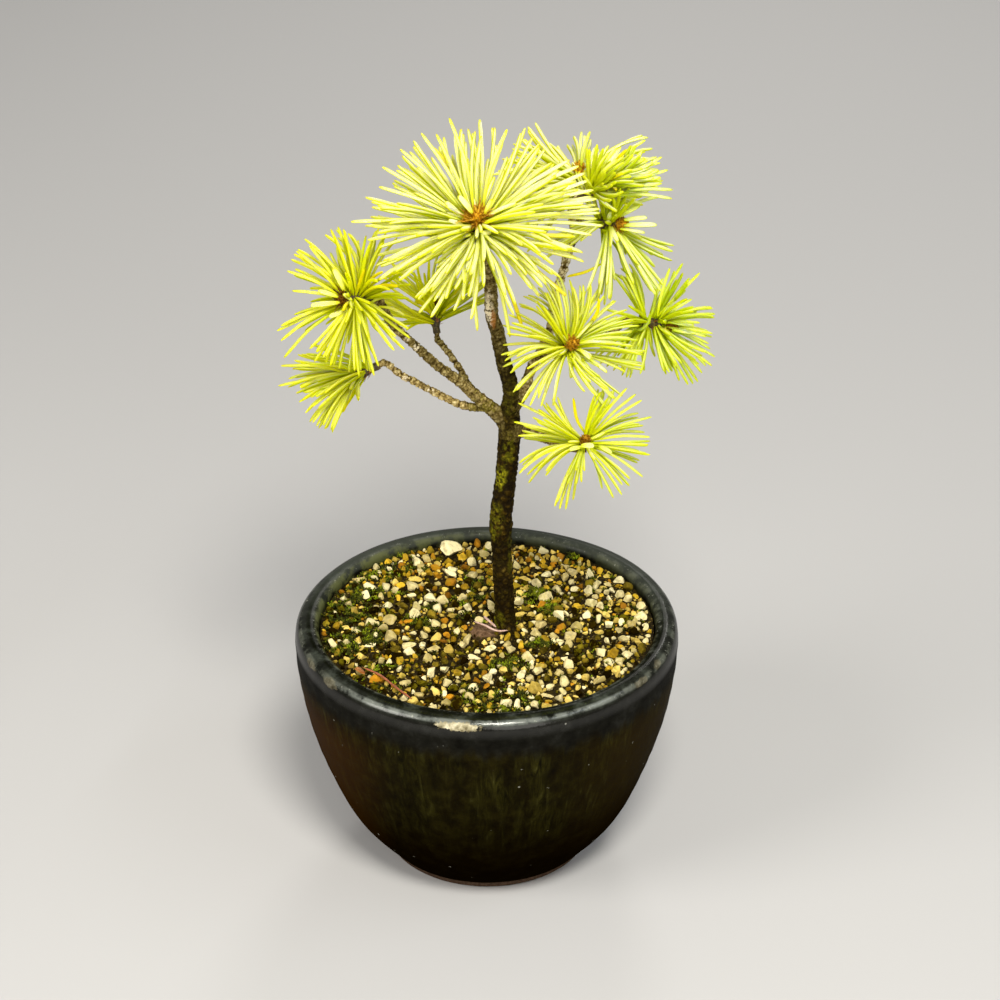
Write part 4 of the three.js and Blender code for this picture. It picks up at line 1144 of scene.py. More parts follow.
def bud_material():
    look = Look("bud")
    mottle = look.noise(0.7, 4, 0.65)
    gold = look.number("gold")
    outer = look.number("spread").span(0.25, 0.7)
    look.colour = mottle.ramp(
        (0.34, 0.018, 0.006, 0.002), (0.5, 0.09, 0.03, 0.005), (0.64, 0.24, 0.1, 0.012),
        (0.8, 0.45, 0.26, 0.05))
    look.lay(gold * (outer * 0.35).rest(), mottle.ramp(
        (0.3, 0.13, 0.045, 0.002), (0.42, 0.42, 0.18, 0.005), (0.54, 0.7, 0.38, 0.01),
        (0.7, 0.86, 0.6, 0.06)))
    tips = look.number("rise").span(0.5, 1.0) * mottle.span(0.4, 0.55)
    look.lay(tips * gold * 0.6, (0.85, 0.45, 0.04))
    return look.done(
        Roughness=mottle.span(0.3, 0.7, 0.7, 0.5), Normal=look.noise(0.25).bump(0.05),
        Subsurface_Weight=0.1, Subsurface_Radius=(0.001, 0.0004, 0.0001), Specular_IOR_Level=0.1)


# Wood: the limbs joined into one skin, with bark raised on it

BARK_VOXEL = 0.27
TUBE_STEP = 0.7
TUBE_SIDES = 20
# How sandy each limb's bark is
LIMB_TANS = {
    "crown": 0.0, "upper_back": 1.0, "upper_right": 0.8, "upper_right_front": 0.7, "right": 0.6,
    "middle_right": 0.5, "low_right": 0.4, "left": 0.5, "back_left": 0.6, "low_left": 1.0,
}
# Marks on the bark: strength, place, reach and the size of their ragged edge
MOSS_ON_BARK = (
    (1.0, (3.0, -4.3, 110.5), (2.6, 2.8, 4.2), 1.6), (0.4, (5.6, -3.8, 118), (2.0, 2.2, 4.5), 1.5),
    (0.7, (-24, -5.5, 155.5), (2.6, 3, 3.2), 1.2), (0.4, (2.2, -3.4, 98), (2.4, 3, 6), 1.6),
    (0.25, (-1, -1, 130), (5, 3, 4), 1.4), (0.4, (2.6, -4.6, 69), (2.5, 3, 3), 1.2),
    (0.2, (6.4, -2.2, 88), (1.8, 3, 9), 1.5), (0.2, (6.2, -2.4, 132), (2.4, 2.6, 6), 1.4),
)
PALE_ON_BARK = (
    (1.0, (0.6, -4.2, 156.5), (1.5, 2.2, 5.5), 1.3), (1.0, (-17, -4.6, 147.8), (1.1, 1.5, 1.3), 0.9),
    # The wide pale patches on the second stem, here and at the start of the next row, are brightened as
    # partly painted light that lifts the crown's shade on it
    (0.85, (-19.5, -4.8, 150), (0.9, 1.5, 0.8), 0.8), (1.0, (20.6, 12.6, 164), (3.4, 4, 10), 2.6),
    (0.9, (17.2, 8.6, 152), (3.2, 4, 9), 2.6), (0.8, (-20.6, 2.6, 135.2), (1.2, 1.4, 0.9), 0.8),
    (0.8, (-14.2, 1.6, 132.4), (1.2, 1.4, 0.9), 0.8), (0.7, (-25.4, 3, 137.6), (1, 1.4, 0.9), 0.8),
)
RUST_ON_BARK = ((1.0, (1.8, -3.6, 154.6), (0.7, 2, 3.4), 1.2),)
# Roots: angle in radians, reach and radius
ROOTS = ((-0.7, 5.2, 1.1), (0.9, 4.6, 1.0), (2.3, 5.6, 1.2), (3.6, 4.8, 1.0), (5.2, 4.9, 0.9))


def limb_tube(limb, order):
    points = limb_points(limb)
    _, length = along_curve(points, [1.0])
    count = max(6, int(length / TUBE_STEP))
    shares = np.linspace(0, 1, count + 1)
    line, _ = along_curve(points, shares)
    radii = along_list(limb[1], shares)
    radii = radii * (1 + 0.05 * fractal(line + order * 40, 3.5, 31, 2)) - 0.12
    tangent = unit(np.gradient(line, axis=0))
    facing = [square_to(tangent[0])[0]]
    for k in range(1, count + 1):
        facing.append(unit(facing[-1] - tangent[k] * (tangent[k] @ facing[-1])))
    facing = np.array(facing)
    side = np.cross(tangent, facing)
    rings = tube(line, facing, side, radii[:, None], circle(TUBE_SIDES))
    return loft(rings[None]), line, radii, facing, side, shares * length


def root_tube(angle, reach, thick):
    """A root that leaves the trunk's foot and dives into the gravel."""
    t = np.linspace(0, 1, 9)
    out = np.array([math.cos(angle), math.sin(angle), 0])
    start = np.array([*TRUNK_FOOT, SOIL_HEIGHT + 3.6])
    line = start + out * (1.4 + (reach - 1.4) * t[:, None]) + np.array([0, 0, -4.6]) * (t**1.3)[:, None]
    side, up = sides_of(unit(np.gradient(line, axis=0)))
    return loft(tube(line, side, up, (thick * (1 - 0.45 * t))[:, None], circle(12))[None])


def fused(parts, voxel):
    """The parts' common skin, as points, quads, triangles and outward directions."""
    mesh = raw_mesh("skin", *joined(parts))
    made = new_object("skin", mesh)
    modifier = made.modifiers.new("skin", "REMESH")
    modifier.mode = "VOXEL"
    modifier.voxel_size = voxel
    smoother = made.modifiers.new("even", "SMOOTH")
    smoother.factor = 0.5
    smoother.iterations = 4
    bpy.context.view_layer.update()
    result = bpy.data.meshes.new_from_object(made.evaluated_get(bpy.context.evaluated_depsgraph_get()))

    def read(items, key, width, kind):
        values = np.zeros(len(items) * width, kind)
        items.foreach_get(key, values)
        return values.reshape(-1, width) if width > 1 else values

    points = read(result.vertices, "co", 3, float)
    normals = read(result.vertex_normals, "vector", 3, float)
    sizes = read(result.polygons, "loop_total", 1, int)
    corners = read(result.loops, "vertex_index", 1, int)
    starts = np.concatenate([[0], np.cumsum(sizes)[:-1]])
    quads, triangles = (corners[starts[sizes == n][:, None] + np.arange(n)] for n in (4, 3))
    bpy.data.objects.remove(made)
    bpy.data.meshes.remove(mesh)
    bpy.data.meshes.remove(result)
    return points, quads, triangles, normals


def near_spot(points, spot, reach, size, seed):
    """How much each point belongs to a ragged patch round a spot."""
    d = np.linalg.norm((points - np.array(spot)) / np.array(reach), axis=1)
    return smoothstep(1.15, 0.6, d + 0.45 * fractal(points, size, seed, 3))


def make_wood():
    tubes, rows = [], []
    for order, limb in enumerate(LIMBS):
        tube_mesh, line, radii, facing, side, lengths = limb_tube(limb, order)
        tubes.append(tube_mesh)
        tans = LIMB_TANS[limb[0]] * smoothstep(1, 9, lengths)
        if order == 0:
            tans = 0.35 * smoothstep(138, 158, line[:, 2])
        rows.append(np.column_stack([line, radii, facing, side, lengths + 60 * order, tans]))
    tubes += [root_tube(*root) for root in ROOTS]
    points, quads, triangles, normals = fused(tubes, BARK_VOXEL)
    rows = np.concatenate(rows)
    tree = kdtree.KDTree(len(rows))
    for k, row in enumerate(rows):
        tree.insert(row[:3], k)
    tree.balance()
    rows = rows[[tree.find(p)[1] for p in points]]
    radii, facing, side, along, tan = rows[:, 3], rows[:, 4:7], rows[:, 7:10], rows[:, 10], rows[:, 11]
    offset = points - rows[:, :3]
    u, v, s = (np.einsum("ij,ij->i", offset, way) for way in (facing, side, np.cross(facing, side)))
    own = np.stack([u, v, along + s], -1)
    thick = smoothstep(1.0, 2.7, radii)
    # Old bark breaks into low plates that are wider than high, and young twigs carry the scars of old needles
    warped = own + 0.5 * np.stack([fractal(own, 2.2, 5 + k, 2) for k in range(3)], -1)
    edge, number = plates(warped / np.array([1.8, 1.8, 1.7]), 11)
    edge_small, scar = plates(warped / np.array([0.95, 0.95, 0.8]), 23)
    plate = smoothstep(0.0, 0.4, edge)
    knob = smoothstep(0.0, 0.45, edge_small)
    ridge = np.sin(warped[:, 2] * 2 * math.pi / 2.1 + 1.4 * lattice_noise(own, 3.0, 3))
    notch = smoothstep(0.7, 1.0, np.cos(warped[:, 2] * 2 * math.pi / 2.7))
    old_bark = 0.24 * (plate - 0.6) + 0.16 * (number - 0.5) + 0.03 * ridge
    young_bark = 0.2 * (knob - 0.5) + 0.18 * (scar - 0.5) + 0.06 * ridge - 0.14 * notch
    relief = thick * old_bark + (1 - thick) * young_bark + 0.09 * fractal(points, 0.7, 17, 2)
    relief += thick * 0.24 * fractal(points, 4.0, 8, 2)
    shown = smoothstep(60, 64, points[:, 2])
    points = points + normals * (relief * (0.3 + 0.7 * shown))[:, None]

    def patches(spots, seed):
        return np.maximum.reduce([
            strength * near_spot(points, spot, reach, size, seed + k)
            for k, (strength, spot, reach, size) in enumerate(spots)])

    numbers = {
        "hollow": 1 - (thick * plate + (1 - thick) * knob * (1 - 0.8 * notch)), "rise": relief / 0.3,
        "thick": thick, "tan": tan,
        "moss": patches(MOSS_ON_BARK, 41), "pale": patches(PALE_ON_BARK, 51),
        "rust": patches(RUST_ON_BARK, 61),
    }
    make_piece("wood.fine", (points, quads, triangles), [BARK_MATERIAL], ["wood"], numbers)


def bark_material():
    look = Look("bark")
    thick, hollow = look.number("thick"), look.number("hollow")
    wide, fine = look.noise(3.2, 4, 0.6), look.noise(0.5, 5, 0.65)
    mixed = fine * 0.75 + look.number("rise") * 0.24 + 0.1
    look.colour = mixed.ramp(
        (0.25, 0.022, 0.014, 0.002), (0.45, 0.1, 0.072, 0.012), (0.62, 0.25, 0.2, 0.045),
        (0.8, 0.5, 0.42, 0.15))
    old = mixed.ramp(
        (0.25, 0.0045, 0.002, 0.0001), (0.45, 0.0115, 0.006, 0.0002), (0.62, 0.032, 0.0185, 0.0008),
        (0.8, 0.105, 0.07, 0.009))
    sandy = mixed.ramp(
        (0.25, 0.08, 0.045, 0.009), (0.42, 0.34, 0.24, 0.075), (0.56, 0.64, 0.5, 0.21),
        (0.7, 0.85, 0.73, 0.42))
    look.lay(thick, old)
    look.lay(look.number("tan"), sandy)
    look.lay(wide.span(0.46, 0.62) * fine.span(0.4, 0.6) * 0.3, (0.065, 0.052, 0.003))
    look.lay(hollow * thick.span(0.0, 1.0, 0.34, 0.55), (0.008, 0.005, 0.001))
    # Pale flakes of bark, brightened as partly painted light where the second stem lies in the crown's shade
    look.lay(look.number("pale") * fine.span(0.28, 0.44) * hollow.span(0.9, 0.55), (0.78, 0.68, 0.48))
    look.lay(look.number("rust") * 0.65, (0.4, 0.15, 0.03))
    green = look.noise(0.7, 4).ramp(
        (0.3, 0.04, 0.042, 0.001), (0.52, 0.15, 0.145, 0.004), (0.72, 0.4, 0.36, 0.012))
    look.lay(look.number("moss") * look.noise(1.5, 4, 0.6).span(0.42, 0.56), green)
    return look.done(
        Roughness=fine.span(0.3, 0.7, 0.9, 0.55), Normal=look.noise(0.22, 4, 0.7).bump(0.08, 0.9),
        Specular_IOR_Level=0.05)


# Pot: the solid's own profile, turned finely, with the slight waves of a hand-thrown bowl


def spline(points, samples):
    """A uniform curve through the points of a profile."""
    points = np.array(points, float)
    padded = np.vstack([points[0], points, points[-1]])
    place = np.linspace(0, len(points) - 1, samples)
    k = np.minimum(place.astype(int), len(points) - 2)
    w = (place - k)[:, None]
    p0, p1, p2, p3 = (padded[k + i] for i in range(4))
    m1, m2 = (p2 - p0) / 2, (p3 - p1) / 2
    return p1 + m1 * w + (3 * (p2 - p1) - 2 * m1 - m2) * w**2 + (2 * (p1 - p2) + m1 + m2) * w**3


# The pot's profile, as radii and heights
POT_INSIDE = (
    (MOUTH_RADIUS, POT_HEIGHT - 1.4), (MOUTH_RADIUS - 0.5, POT_HEIGHT * 0.8),
    (MOUTH_RADIUS - 2.9, POT_HEIGHT * 0.6), (MOUTH_RADIUS - 7.2, POT_HEIGHT * 0.4),
    (MOUTH_RADIUS - 14, POT_HEIGHT * 0.23), (20, POT_FLOOR),
)
POT_OUTSIDE = (
    (28.6, 2.6), (RIM_RADIUS - 13, POT_HEIGHT * 0.2), (RIM_RADIUS - 7.2, POT_HEIGHT * 0.4),
    (RIM_RADIUS - 3, POT_HEIGHT * 0.6), (RIM_RADIUS - 0.6, POT_HEIGHT * 0.8), (RIM_RADIUS, POT_HEIGHT - 5.2),
)
POT_LIP = (
    (RIM_RADIUS, POT_HEIGHT - 5.2), (RIM_RADIUS - 0.2, POT_HEIGHT - 2.4),
    (RIM_RADIUS - 1.3, POT_HEIGHT - 0.7), (RIM_RADIUS - 3.3, POT_HEIGHT),
    (MOUTH_RADIUS + 0.9, POT_HEIGHT - 0.3), (MOUTH_RADIUS, POT_HEIGHT - 1.4),
)
POT_FOOT = (
    (DRAIN_RADIUS, 3), (21, 3), (21.4, 2.9), (21.9, 0.4), (22.3, 0), (26.7, 0), (27.2, 0.4), (27.4, 2.2),
    (28.6, 2.6),
)
POT_SIDES = 220


def turned_body(profile, sides, move):
    """A closed body turned from a looped profile. move shifts each point outwards and upwards."""
    count = len(profile)
    a = np.repeat(circle(sides)[:, None], count, axis=1)
    r, z = (np.repeat([values], sides, axis=0) for values in np.array(profile).T)
    dr, dz = move(r, z, a)
    r, z = r + dr, z + dz
    points = np.stack([r * np.cos(a), r * np.sin(a), z], -1).reshape(-1, 3)
    here = np.arange(sides)[:, None] * count
    after = ((np.arange(sides) + 1) % sides)[:, None] * count
    k = np.arange(count)
    n = (k + 1) % count
    quads = np.stack([here + k, after + k, after + n, here + n], -1).reshape(-1, 4)
    return points, quads, NO_TRIANGLES


def make_pot():
    profile = np.vstack([
        POT_FOOT[:-1], spline(POT_OUTSIDE, 46)[:-1], spline(POT_LIP, 22)[:-1], spline(POT_INSIDE, 30),
        [(DRAIN_RADIUS, POT_FLOOR)],
    ])

    def move(r, z, a):
        x, y = r * np.cos(a), r * np.sin(a)
        high = smoothstep(8, 30, z)
        waves = 0.16 * fractal_at(x, y, z, 17, 3, 1) * high
        throwing = 0.05 * np.sin(z * 2 * math.pi / 5.5 + 0.6 * np.sin(a)) * high
        runs = fractal_at(np.cos(a) * 16, np.sin(a) * 16, z / 22, 1.0, 9, 2)
        drips = 0.1 * np.clip(runs, 0, 1) * smoothstep(60, 40, z) * high
        lip = smoothstep(POT_HEIGHT - 4, POT_HEIGHT, z) * (r > MOUTH_RADIUS)
        return (waves + throwing + drips) * (r > 30), 0.18 * fractal_at(x, y, z, 21, 5, 1) * lip

    make_piece("pot.fine", turned_body(profile, POT_SIDES, move), [GLAZE_MATERIAL], ["pot"])


# Worn places on the lip: where, and how far each reaches
SCUFFS = (
    ((-39.6, -29.4, 65.6), (3.4, 3.6, 1.3)), ((-44.8, -20.4, 65.6), (2, 5, 1.0)),
    ((38.8, -29.2, 65.9), (3.6, 4.2, 0.8)), ((43.2, -20.6, 66.2), (1.6, 4.4, 0.8)),
)


def glaze_material():
    look = Look("glaze")
    x, y, z = look.axes()
    radius = (x * x + y * y).math("SQRT")
    around = look.add("CombineXYZ", "Vector", {"X": x / radius, "Y": y / radius, "Z": z * 0.0045})
    wide, middle, fine = look.noise(16), look.noise(4, 5, 0.6), look.noise(0.8, 4, 0.6)
    runs = look.noise(0.075, 4, 0.55, vector=around)
    streaks = look.noise(0.034, 5, 0.65, 0.8, around)
    # Body: near black, with olive runs that start under the rim band and fade towards the foot
    look.colour = middle.ramp(
        (0.3, 0.0022, 0.0013, 0.0001), (0.5, 0.006, 0.0042, 0.0004), (0.75, 0.015, 0.012, 0.0015))
    start = (z + runs.span(0.25, 0.75, 7, -7)).span(61, 51)
    down = z.span(12, 44) * start * runs.span(0.34, 0.62) * wide.span(0.36, 0.6, 0.25, 1.0)
    look.lay(down, streaks.ramp(
        (0.34, 0.003, 0.0025, 0.0002), (0.47, 0.011, 0.0095, 0.0009), (0.6, 0.024, 0.0215, 0.003),
        (0.76, 0.055, 0.053, 0.014)))
    # Its right is smoother, with olive-brown that is partly glaze and partly a painted warm reflection;
    # painted shade darkens its foot; and a painted warm reflection warms its left
    look.lay(x.span(14, 40) * z.span(62, 50) * 0.75, (0.015, 0.0085, 0.0002))
    look.lay(z.span(42, 8, 0.0, 0.85), (0.0025, 0.001, 0.0001))
    look.lay(x.span(-22, -44) * z.span(60, 46) * 0.8, (0.034, 0.0125, 0.0004))
    # Band: slate from the mouth down over the rim, darker below the lip, with a ragged lower edge
    look.lay((z + (runs - 0.5) * 9).span(55, 59.5), middle.ramp(
        (0.3, 0.003, 0.0028, 0.0018), (0.52, 0.0072, 0.007, 0.005), (0.75, 0.016, 0.016, 0.0135)))
    top = z.span(64.6, 66.2)
    look.lay(top, middle.ramp(
        (0.34, 0.003, 0.0035, 0.0015), (0.5, 0.014, 0.016, 0.011), (0.68, 0.04, 0.046, 0.036)))
    # The lip's inner half is dark at the front, and a painted reflection makes the glaze an even paler
    # blue-grey towards the back
    inner_half = top * (radius.span(47.8, 46.6) * y.span(12, -18)) * middle.span(0.68, 0.46)
    look.lay(inner_half * 0.85, (0.0035, 0.004, 0.0015))
    look.lay(top * y.span(-8, 36) * 0.8, (0.048, 0.054, 0.044))
    # The glaze breaks paler on both edges of the lip, with specks of lime, and a painted highlight runs along
    # the front of the outer edge
    outer = z.span(65.4, 66.0) * radius.span(48.0, 48.6)
    edges = outer.most(radius.span(45.9, 45.1) * z.span(65.6, 66.4))
    look.lay(edges * middle.span(0.4, 0.62) * 0.3, (0.18, 0.19, 0.15))
    # Painted highlight: a pale line along the front of the lip's outer edge
    painted_lip_glint = outer * (y / radius).span(-0.55, -0.85) * middle.span(0.34, 0.54)
    look.lay(painted_lip_glint * 0.5, (0.22, 0.24, 0.22))
    look.lay(edges * fine.span(0.62, 0.7) * 0.5, (0.45, 0.45, 0.38))
    chalk = look.mark((-6.9, -49.0, 65.3), (6.2, 4, 1.15), fine)
    for spot, reach in SCUFFS:
        chalk = chalk.most(look.mark(spot, reach, fine * 0.6 + middle * 0.5) * 0.2)
    look.lay(chalk, look.noise(1.6, 4, 0.6).ramp(
        (0.35, 0.12, 0.1, 0.05), (0.5, 0.36, 0.32, 0.2), (0.65, 0.62, 0.57, 0.4)))
    # Lime line and algae on the inner wall, just above the gravel, most of it on the left
    inner = radius.span(45.2, 44.5) * z.span(58, 62)
    lime = inner * x.span(10, -30, 0.25, 1.0) * middle.span(0.36, 0.6)
    look.lay(lime * 0.7, (0.1, 0.11, 0.035))
    look.lay(look.cells(5.5).span(0.075, 0.04) * fine.span(0.5, 0.58) * 0.5, (0.4, 0.4, 0.34))
    # The foot ring shows raw clay
    clay = z.span(2.9, 1.9) * radius.span(20.5, 21.2)
    look.lay(clay, fine.ramp((0.3, 0.05, 0.03, 0.02), (0.7, 0.11, 0.07, 0.045)))
    rough = middle.span(0.3, 0.7, 0.22, 0.38).most(chalk.most(clay) * 0.75).most(lime * 0.6)
    glossy = z.span(61, 64) * radius.span(46.5, 47.5) * (chalk.rest() * 0.6)
    return look.done(
        Roughness=rough, Normal=fine.bump(0.05, 0.5, wide.bump(0.5, 0.25)),
        Coat_Weight=glossy.most(z.span(14, 60, 0.0, 0.06)), Coat_Normal=fine.bump(0.05, 0.7),
        Coat_Roughness=0.14, Specular_IOR_Level=0.0)


# Soil: dark earth that fills the pot, gravel laid on it grain by grain, and moss between the grains

EARTH_SIDES = 200
EARTH_RINGS = 90
# A mound of pinkish clay at the trunk's foot: its place and reach
CLAY_SPOT = (-0.6, -4.6, 4.1)


def ground(x, y):
    """The height of the earth under the gravel."""
    share = np.hypot(x, y) / GRAVEL_REACH
    hills = 0.5 * fractal_at(x, y, 0, 12, 71, 2)
    foot = np.hypot(x - TRUNK_FOOT[0], y - TRUNK_FOOT[1])
    clay = np.hypot(x - CLAY_SPOT[0], y - CLAY_SPOT[1])
    heap = 0.6 * np.exp(-((foot / 7) ** 2)) + 1.1 * np.exp(-((clay / CLAY_SPOT[2]) ** 4))
    return SOIL_HEIGHT + 0.15 + 0.8 * (1 - np.minimum(share, 1) ** 2) + hills * (1 - 0.5 * share) + heap


def make_earth():
    wall = [(r - WALL_GAP, z + GAP) for r, z in spline(POT_INSIDE, 14) if z < SOIL_HEIGHT - 2][::-1]
    over_screen = POT_FLOOR + 2 * GAP + SCREEN_THICKNESS
    outer, inner = GRAVEL_REACH + 0.35, 0.1
    tops = [(r, SOIL_HEIGHT) for r in np.linspace(outer, inner, EARTH_RINGS + 1)]
    profile = [
        (inner, over_screen), (SCREEN_REACH, over_screen), (SCREEN_REACH, POT_FLOOR + GAP), *wall, *tops]

    def move(r, z, a):
        x, y = r * np.cos(a), r * np.sin(a)
        crumb = 0.35 * fractal_at(x, y, z, 1.5, 77)
        return 0 * r, np.where(z == SOIL_HEIGHT, ground(x, y) - 0.1 + crumb - z, 0)

    shape = turned_body(profile, EARTH_SIDES, move)
    numbers = {"mossy": moss_share(*shape[0].T[:2])}
    make_piece("soil.earth", shape, [EARTH_MATERIAL], ["soil"], numbers)


def ball(n):
    """A round ball from an eight-faced one, each face cut in n rows."""
    index, faces = {}, []
    for sx, sy, sz in itertools.product((1, -1), repeat=3):
        def spot(i, j):
            place = (sx * i / n, sy * j / n, sz * (n - i - j) / n)
            return index.setdefault(tuple(np.round(place, 5)), (len(index), place))[0]

        for i, j in ((i, j) for i in range(n) for j in range(n - i)):
            found = [[spot(i, j), spot(i + 1, j), spot(i, j + 1)]]
            if i + j < n - 1:
                found.append([spot(i + 1, j), spot(i + 1, j + 1), spot(i, j + 1)])
            faces += found if sx * sy * sz > 0 else [face[::-1] for face in found]
    return unit(np.array([place for _, place in index.values()])), np.array(faces)


def random_turns(rng, count):
    q = unit(rng.normal(size=(count, 4)))
    w, x, y, z = q.T
    return np.stack([
        np.stack([1 - 2 * (y * y + z * z), 2 * (x * y - z * w), 2 * (x * z + y * w)], -1),
        np.stack([2 * (x * y + z * w), 1 - 2 * (x * x + z * z), 2 * (y * z - x * w)], -1),
        np.stack([2 * (x * z - y * w), 2 * (y * z + x * w), 1 - 2 * (x * x + y * y)], -1),
    ], axis=1)


def grains(centres, radii, rng, rows, chips):
    """Stones: balls chipped by flat cuts, squeezed and turned at random."""
    points, faces = ball(rows)
    count = len(centres)
    shape = np.repeat(points[None], count, axis=0)
    for _ in range(chips):
        cut = unit(rng.normal(size=(count, 3)))
        depth = rng.uniform(0.38, 0.8, count)
        over = np.einsum("nij,nj->ni", shape, cut) - depth[:, None]
        shape = shape - np.clip(over, 0, None)[..., None] * cut[:, None]
    squeeze = rng.uniform(0.74, 1.36, (count, 3))
    shape = shape * squeeze[:, None]
    wobble = lattice_noise((shape + np.arange(count)[:, None, None] * 7.3).reshape(-1, 3), 0.6, 91)
    shape = shape * (1 + 0.09 * wobble.reshape(count, -1, 1))
    shape = np.einsum("nij,nkj->nki", random_turns(rng, count), shape) * radii[:, None, None]
    shape = shape + centres[:, None]
    start = np.arange(count)[:, None, None] * len(points)
    return shape.reshape(-1, 3), NO_QUADS, (faces[None] + start).reshape(-1, 3)


def scattered(rng, radii, reach, packing, taken):
    """Places for stones of those radii, largest first, none nearer than packing times the radii's sum."""
    cell, tries = 4.0, 40
    grid = {}
    for x, y, r in taken:
        grid.setdefault((int(x // cell), int(y // cell)), []).append((x, y, r))
    found = []
    for r in radii:
        for _ in range(tries):
            distance = reach * math.sqrt(rng.uniform())
            angle = rng.uniform(0, 2 * math.pi)
            x, y = distance * math.cos(angle), distance * math.sin(angle)
            if math.hypot(x, y) + r * 0.9 > reach:
                continue
            cx, cy = int(x // cell), int(y // cell)
            close = (o for i in (-1, 0, 1) for j in (-1, 0, 1) for o in grid.get((cx + i, cy + j), ()))
            if all(math.hypot(x - ox, y - oy) > packing * (r + other) for ox, oy, other in close):
                grid.setdefault((cx, cy), []).append((x, y, r))
                found.append((x, y, r))
                break
    return found


# Moss: x, y, reach and strength of each patch
MOSS_SPOTS = (
    (14, 12.5, 4.6, 1.2), (17, 6.5, 3.6, 1.0), (4.5, -21, 4.5, 0.8), (-35, -8, 8, 0.85), (-36, 6, 7, 0.8),
    (-31, 19, 8, 0.7), (-24, 30, 7, 0.6), (2, -38, 7, 0.75), (9, -36, 5, 0.6), (23, 37, 5, 0.7),
    (-8, 8, 6, 0.5), (-28, -22, 5, 0.6), (31, 20, 5, 0.45), (-17, 4, 5, 0.5), (-3, 17, 6, 0.5),
    (33, 3, 5, 0.35), (12, -10, 4, 0.5),
)


def moss_share(x, y):
    """How mossy the ground is, from 0 to 1."""
    total = np.zeros(np.shape(x))
    for sx, sy, reach, strength in MOSS_SPOTS:
        total = np.maximum(total, strength * np.exp(-(((x - sx) ** 2 + (y - sy) ** 2) / reach**2)))
    clumps = smoothstep(-0.2, 0.2, fractal_at(x, y, 0, 2.8, 84, 2))
    return np.clip((total + 0.3 * fractal_at(x, y, 0, 5, 83)) * (0.2 + 0.8 * clumps), 0, 1)


GRAIN_CUTS = 12
# Stones that stand out: x, y and radius
PEBBLES = ((-10.4, 36.9, 3.1), (-1.0, 36.6, 1.9), (15.6, 12.4, 2.0), (-1.4, 15.2, 1.2), (20, 36, 2.2),
           (35.4, -7.4, 1.9), (29, -14, 1.8), (-14, -24, 1.8), (6, -13, 1.7), (31.5, 4, 1.5))


def make_gravel():
    rng = np.random.default_rng(GRAVEL_SEED)
    taken = [(*TRUNK_FOOT, 3.6), CLAY_SPOT]
    large = sorted(rng.uniform(1.15, 1.85, 330), reverse=True)
    medium = sorted(rng.uniform(0.7, 1.15, 640), reverse=True)
    small = rng.uniform(0.38, 0.65, 1100)
    first = list(PEBBLES) + scattered(rng, large, GRAVEL_REACH, 0.95, taken + list(PEBBLES))
    second = scattered(rng, medium, GRAVEL_REACH, 0.9, taken + first)
    third = scattered(rng, small, GRAVEL_REACH, 0.7, taken + first + second)
    layers = (("soil.pebbles", first, 6), ("soil.gravel", second, 4), ("soil.grit", third, 3))
    for name, found, rows in layers:
        x, y, r = np.array(found).T
        height = ground(x, y) + r * (rng.uniform(-0.3, 0.5, len(r)) - 0.3 * moss_share(x, y))
        shape = grains(np.stack([x, y, height], -1), r, rng, rows, GRAIN_CUTS)
        kinds = np.repeat(grain_kinds(x, y, r, rng), len(shape[2]) // len(r))
        stone = np.repeat(rng.uniform(0, 1, len(r)), len(shape[0]) // len(r))
        make_piece(name, shape, GRAIN_MATERIALS, (), {"stone": stone}, kinds, False)


def grain_kinds(x, y, r, rng):
    """A kind of stone for each grain: more pale quartz to the right and front, more brown under the moss, and
    paler stones towards the back, which is partly painted light that lifts the tree's shadow there.
    """
    bright = smoothstep(-20, 45, x - 0.5 * y)
    # Paler stones at the back are partly painted light against the tree's shadow
    back = smoothstep(8, 34, y)
    mossy = moss_share(x, y)
    shares = np.stack([
        (0.12 + 0.34 * bright + 0.22 * back) * smoothstep(0.35, 0.8, r) + 15 * (r > 1.65),
        0.2 + 0.12 * bright + 0.36 * back,
        0.1 + 0.34 * back, 0.06 + 0.2 * back, 0.12 + 0.12 * mossy,
        0.46 + 0.6 * mossy - 0.22 * bright - 0.3 * back,
    ], -1)
    shares[:, 5] = np.where(r > 1.7, 0.02, shares[:, 5])
    total = np.cumsum(shares, axis=1)
    return (rng.uniform(0, 1, len(x))[:, None] * total[:, -1:] > total).sum(axis=1)


# Kinds of stone: name, dark and pale colour, roughness and gloss
GRAIN_COLOURS = (
    ("quartz", (0.42, 0.32, 0.09), (0.95, 0.85, 0.48), 0.4, 0.18),
    ("cream", (0.3, 0.2, 0.02), (0.92, 0.69, 0.17), 0.5, 0.1),
    ("ochre", (0.18, 0.1, 0.003), (0.76, 0.48, 0.03), 0.55, 0.06),
    ("rust", (0.12, 0.05, 0.002), (0.56, 0.25, 0.012), 0.6, 0.06),
    ("olive", (0.035, 0.025, 0.001), (0.3, 0.21, 0.016), 0.65, 0.04),
    ("lava", (0.004, 0.0022, 0.0002), (0.024, 0.014, 0.001), 0.8, 0.0),
)


def grain_material(name, dark, pale, roughness, gloss):
    look = Look(f"gravel_{name}")
    mottle = look.noise(0.8, 5, 0.65)
    look.colour = (look.number("stone") * 0.5 + mottle * 0.6).ramp((0.25, *dark), (0.8, *pale))
    look.lay(look.noise(1.6).span(0.5, 0.68) * 0.55, tuple(0.4 * d for d in dark))
    look.lay(look.noise(5.5, 4, 0.7).span(0.5, 0.64) * 0.34, (0.3, 0.25, 0.01))
    return look.done(
        Roughness=mottle.span(0.3, 0.7, roughness + 0.12, roughness - 0.08),
        Normal=look.noise(0.3, 4, 0.7).bump(0.08, 0.7), Specular_IOR_Level=gloss)


